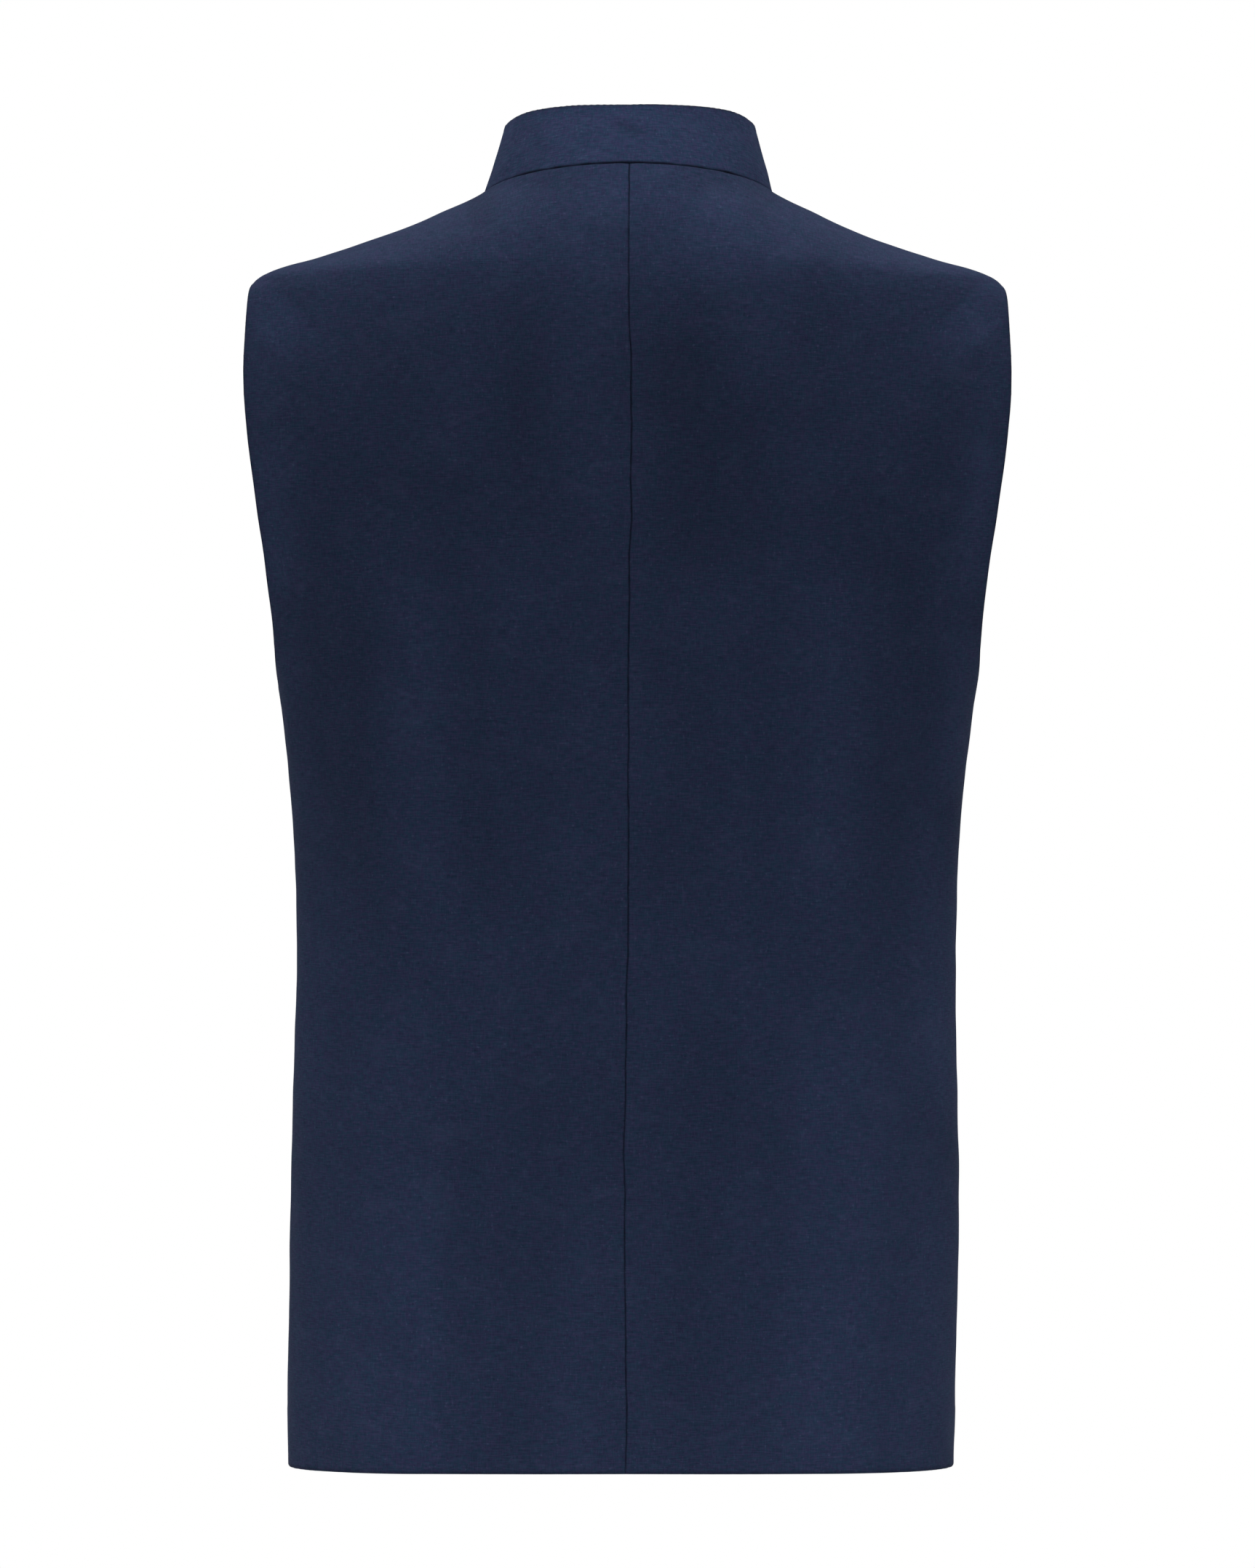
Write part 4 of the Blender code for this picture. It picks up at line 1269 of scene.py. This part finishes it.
def linen_material(name, tone=1.0):
    """Navy plain-weave linen: warp and weft threads of uneven thickness and
    slightly different blues, slubs and neps."""
    m = Tree(name)
    uv = m.node("ShaderNodeUVMap", uv_map="cloth").outputs[0]
    # Threads: thin short streaks along the warp and along the weft
    warp = m.noise(m.scaled(uv, (1500.0, 210.0, 1.0)), 1.0, 2.0, 0.6)
    weft = m.noise(m.scaled(uv, (150.0, 1500.0, 1.0)), 1.0, 2.0, 0.6)
    slub_v = m.noise(m.scaled(uv, (700.0, 60.0, 1.0)), 1.0, 1.0, 0.5)
    slub_h = m.noise(m.scaled(uv, (60.0, 720.0, 1.0)), 1.0, 1.0, 0.5)
    hue = m.math(
        "ADD",
        m.math("MULTIPLY", m.noise(m.scaled(uv, (90.0, 120.0, 1.0)), 1.0, 2.0, 0.6), 0.30),
        m.math("MULTIPLY", m.noise(m.scaled(uv, (460.0, 700.0, 1.0)), 1.0, 1.0), 0.70),
    )
    milky = m.noise(m.scaled(uv, (44.0, 70.0, 1.0)), 1.0, 3.0, 0.6, 0.8)
    cloud = m.noise(m.scaled(uv, (330.0, 420.0, 1.0)), 1.0, 2.0, 0.6)
    blotch = m.noise(m.scaled(uv, (26.0, 18.0, 1.0)), 1.0, 2.0, 0.5)
    neps = m.noise(m.scaled(uv, (620.0, 560.0, 1.0)), 1.0, 1.0, 0.4)

    # tone scales the whole colour; above 1 it paints the cloth lighter.
    blue = (0.0175 * tone, 0.0380 * tone, 0.0762 * tone, 1.0)
    violet = (0.0285 * tone, 0.0305 * tone, 0.0785 * tone, 1.0)
    dark = (0.0112 * tone, 0.0178 * tone, 0.0430 * tone, 1.0)
    pale = (0.0560 * tone, 0.0720 * tone, 0.1400 * tone, 1.0)
    colour = m.mix(m.fit(hue, 0.42, 0.58, 0.0, 1.0), blue, violet)
    thread = m.math("ADD", m.math("MULTIPLY", warp, 0.8), m.math("MULTIPLY", weft, 1.2))
    colour = m.mix(m.fit(thread, 1.0, 0.70, 0.0, 0.55), colour, dark)
    colour = m.mix(m.fit(thread, 1.0, 1.32, 0.0, 0.30), colour, pale)
    slub = m.math("MAXIMUM", slub_v, slub_h)
    colour = m.mix(m.fit(slub, 0.64, 0.80, 0.0, 0.20), colour, pale)
    colour = m.mix(m.fit(neps, 0.66, 0.76, 0.0, 0.50), colour, pale)
    colour = m.mix(m.fit(neps, 0.33, 0.24, 0.0, 0.60), colour, dark)
    colour = m.mix(m.fit(milky, 0.52, 0.72, 0.0, 0.14), colour, pale)
    shade = m.math(
        "MULTIPLY", m.fit(blotch, 0.3, 0.7, 0.955, 1.045), m.fit(cloud, 0.3, 0.7, 0.93, 1.07)
    )
    # Painted shade along seams and edges, and painted light and shade from each piece's marks, scale the colour.
    painted_edge_shade = m.node("ShaderNodeAttribute", attribute_name="painted_edge_shade").outputs["Fac"]
    painted_shading_and_tone = m.node("ShaderNodeAttribute", attribute_name="painted_shading_and_tone").outputs["Fac"]
    shade = m.math("MULTIPLY", shade, m.fit(painted_edge_shade, 0.0, 1.0, 1.0, 0.20))
    shade = m.math("MULTIPLY", shade, m.fit(painted_shading_and_tone, -2.6, 4.6, 0.74, 1.46))
    colour = m.node(
        "ShaderNodeVectorMath", {0: colour, "Scale": shade}, operation="SCALE"
    ).outputs[0]
    m.link(colour, "Base Color")

    # The weave stands up where a thread crosses over
    split = m.node("ShaderNodeSeparateXYZ", {0: uv})
    wobble = m.noise(m.scaled(uv, (60.0, 60.0, 1.0)), 1.0, 1.0)
    pitch = math.tau / 0.0009
    a = m.math("SINE", m.math("ADD", m.math("MULTIPLY", split.outputs[0], pitch), m.math("MULTIPLY", wobble, 5.0)))
    b = m.math("SINE", m.math("ADD", m.math("MULTIPLY", split.outputs[1], pitch), m.math("MULTIPLY", wobble, 5.0)))
    weave = m.math("MULTIPLY", a, b)
    height = m.math("ADD", m.math("MULTIPLY", weave, 0.16), m.math("MULTIPLY", thread, 1.1))
    height = m.math("ADD", height, m.math("MULTIPLY", slub, 0.9))
    bump = m.node(
        "ShaderNodeBump", {"Strength": 0.35, "Distance": 0.00025, "Height": height}
    )
    m.link(bump.outputs[0], "Normal")
    m.link(m.fit(thread, 0.7, 1.3, 0.95, 0.80), "Roughness")
    m.set(Specular_IOR_Level=0.05, Sheen_Weight=0.01, Sheen_Roughness=0.5)
    m.set(Sheen_Tint=(0.55, 0.62, 0.85, 1.0))
    return m.material


def thread_material(name):
    """Navy sewing thread, twisted, a little brighter than the cloth."""
    m = Tree(name)
    place = m.node("ShaderNodeTexCoord").outputs["Object"]
    ply = m.noise(m.scaled(place, (4200.0, 4200.0, 1600.0)), 1.0, 2.0)
    colour = m.mix(
        m.fit(ply, 0.35, 0.65, 0.0, 1.0),
        (0.0110, 0.0150, 0.0330, 1.0),
        (0.0260, 0.0330, 0.0660, 1.0),
    )
    m.link(colour, "Base Color")
    bump = m.node(
        "ShaderNodeBump", {"Strength": 0.5, "Distance": 0.0001, "Height": ply}
    )
    m.link(bump.outputs[0], "Normal")
    m.link(m.fit(ply, 0.3, 0.7, 0.62, 0.46), "Roughness")
    m.set(Specular_IOR_Level=0.15, Sheen_Weight=0.03, Sheen_Roughness=0.4)
    return m.material


def button_material(name):
    """Dark navy resin with a faint swirl, turned and polished."""
    m = Tree(name)
    place = m.node("ShaderNodeTexCoord").outputs["Object"]
    swirl = m.noise(m.scaled(place, (150.0, 150.0, 420.0)), 1.0, 4.0, 0.6, 2.4)
    colour = m.mix(
        m.fit(swirl, 0.36, 0.66, 0.0, 1.0),
        (0.0050, 0.0075, 0.0180, 1.0),
        (0.0170, 0.0240, 0.0520, 1.0),
    )
    m.link(colour, "Base Color")
    fine = m.noise(m.scaled(place, (2600.0, 2600.0, 2600.0)), 1.0, 2.0)
    m.link(m.fit(fine, 0.3, 0.7, 0.24, 0.36), "Roughness")
    bump = m.node(
        "ShaderNodeBump", {"Strength": 0.12, "Distance": 0.00005, "Height": fine}
    )
    m.link(bump.outputs[0], "Normal")
    m.set(Specular_IOR_Level=0.4, IOR=1.53, Coat_Weight=0.12, Coat_Roughness=0.14)
    m.set(Specular_Tint=(0.72, 0.82, 1.0, 1.0))
    return m.material


# ----------------------------------------------------------------- the pieces

linen = linen_material("navy_linen")
# The collar's linen is the same cloth painted 1.36 times lighter, for the stronger light that falls on the collar.
collar_linen_painted_lighter = linen_material("navy_linen_collar_painted_lighter", 1.36)
thread = thread_material("navy_thread")
resin = button_material("button_resin")

panels = {
    "back_left": fine_panel("linen_back_left", False, 1, linen, 31),
    "back_right": fine_panel("linen_back_right", False, -1, linen, 42),
    "front_left": fine_panel("linen_front_left", True, 1, linen, 53),
    "front_right": fine_panel("linen_front_right", True, -1, linen, 64),
    "collar": fine_collar("linen_collar", collar_linen_painted_lighter),
}
for node, piece in panels.items():
    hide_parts(node)
    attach(piece, "root")

front_tree = bvhtree.BVHTree.FromObject(
    panels["front_left"], bpy.context.evaluated_depsgraph_get()
)
button_data = button_mesh()
for i, z in enumerate(BUTTONS_Z, 1):
    mesh = button_data.copy()
    mesh.materials.clear()
    mesh.materials.append(resin)
    piece = bpy.data.objects.new(f"resin_button_{i}", mesh)
    bpy.context.scene.collection.objects.link(piece)
    origin, normal = button_place(z)
    piece.location = origin * MM
    piece.rotation_euler = (
        math.atan2(math.hypot(normal[0], normal[1]), normal[2]),
        0,
        0,
    )
    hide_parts(f"button_{i}")
    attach(piece, "root")
    sewn = button_thread(z, thread, f"thread_button_{i}")
    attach(sewn, "root")
    worked = buttonhole(front_tree, z, thread, f"thread_buttonhole_{i}")
    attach(worked, "root")
bpy.data.meshes.remove(button_data)

# ---------------------------------------------------------- stage and lights


def floor():
    """A round pale floor, far below, that grows as white as the background
    towards its edge."""
    bm = bmesh.new()
    bmesh.ops.create_circle(bm, cap_ends=True, segments=96, radius=4.4)
    mesh = bpy.data.meshes.new("floor")
    bm.to_mesh(mesh)
    bm.free()
    m = Tree("floor_pale")
    place = m.node("ShaderNodeTexCoord").outputs["Object"]
    far = m.node("ShaderNodeVectorMath", {0: place}, operation="LENGTH").outputs[1]
    m.link(m.fit(far, 0.3, 3.9, 0.80, 1.0), "Emission Strength")
    m.set(Base_Color=(0.0, 0.0, 0.0, 1.0), Roughness=1.0, Specular_IOR_Level=0.0)
    m.set(Emission_Color=(1.0, 1.0, 1.0, 1.0))
    mesh.materials.append(m.material)
    obj = bpy.data.objects.new("floor", mesh)
    obj.location = (0, 0, -1.15)
    obj.visible_diffuse = False
    bpy.context.scene.collection.objects.link(obj)
    return obj


floor()
world = bpy.data.worlds.new("studio")
world.use_nodes = True
nodes, links = world.node_tree.nodes, world.node_tree.links
nodes.clear()
seen = nodes.new("ShaderNodeBackground")
seen.inputs["Color"].default_value = (1, 1, 1, 1)
seen.inputs["Strength"].default_value = 1.0
dim = nodes.new("ShaderNodeBackground")
dim.inputs["Color"].default_value = (1, 1, 1, 1)
dim.inputs["Strength"].default_value = 0.045
path = nodes.new("ShaderNodeLightPath")
both = nodes.new("ShaderNodeMixShader")
out = nodes.new("ShaderNodeOutputWorld")
links.new(path.outputs["Is Camera Ray"], both.inputs[0])
links.new(dim.outputs[0], both.inputs[1])
links.new(seen.outputs[0], both.inputs[2])
links.new(both.outputs[0], out.inputs[0])
bpy.context.scene.world = world


def softbox(name, place, size, aim, energy):
    """An area light at place, turned to aim, both in metres. The camera
    doesn't see it."""
    light = bpy.data.lights.new(name, "AREA")
    light.shape = "RECTANGLE"
    light.size, light.size_y = size
    light.energy = energy
    obj = bpy.data.objects.new(name, light)
    obj.location = place
    away = Vector(aim) - Vector(place)
    obj.rotation_euler = away.to_track_quat("-Z", "Y").to_euler()
    obj.visible_camera = False
    bpy.context.scene.collection.objects.link(obj)


# Soft light from low behind and in front, and small lights close over the
# shoulders. Each row stands at both sides, behind and in front.
#   name, place, size, aim, watts
LIGHTS = (
    ("low", (0.0, 0.90, -0.95), (0.8, 0.4), (0.0, 0.10, -0.50), 4.5),
    ("shoulder", (0.35, 0.15, 0.50), (0.4, 0.25), (0.12, 0.05, 0.0), 0.45),
    ("arm", (0.55, 0.15, 0.50), (0.4, 0.25), (0.15, 0.05, 0.0), 0.82),
    ("neck", (0.0, 0.30, 0.45), (0.6, 0.25), (0.0, 0.06, 0.0), 1.40),
    ("side", (0.80, 0.25, -0.95), (0.4, 0.5), (0.10, 0.05, -0.55), 0.78),
    ("rim", (1.00, 0.05, -1.00), (0.4, 0.5), (0.10, 0.0, -0.55), 0.20),
    ("far", (1.50, 2.50, -0.20), (1.0, 1.5), (0.0, 0.0, -0.33), 2.98),
)
for name, (x, y, z), size, (to_x, to_y, to_z), energy in LIGHTS:
    for side in (-1, 1) if x else (1,):
        for face in (-1, 1):
            softbox(
                f"{name}_{'left' if side > 0 else 'right'}_{'back' if face > 0 else 'front'}",
                (x * side, y * face, z),
                size,
                (to_x * side, to_y * face, to_z),
                energy,
            )
# And a dim one under the hem, smaller than its opening, for the inside.
softbox("inside", (0.0, 0.0, -1.05), (0.18, 0.18), (0.0, 0.0, -0.30), 2.0)

camera = bpy.data.cameras.new("camera")
camera.sensor_fit = "AUTO"
camera.sensor_width = 36.0
camera.lens = 36.0 * 5.0 / 0.8516
camera.clip_end = 60.0
view = bpy.data.objects.new("camera", camera)
view.location = (0.0, 5.0, -0.3215)
view.rotation_euler = (math.pi / 2, 0, math.pi)
bpy.context.scene.collection.objects.link(view)
bpy.context.scene.camera = view
bpy.context.scene.view_settings.view_transform = "Standard"
bpy.context.scene.view_settings.look = "None"

bpy.context.view_layer.update()
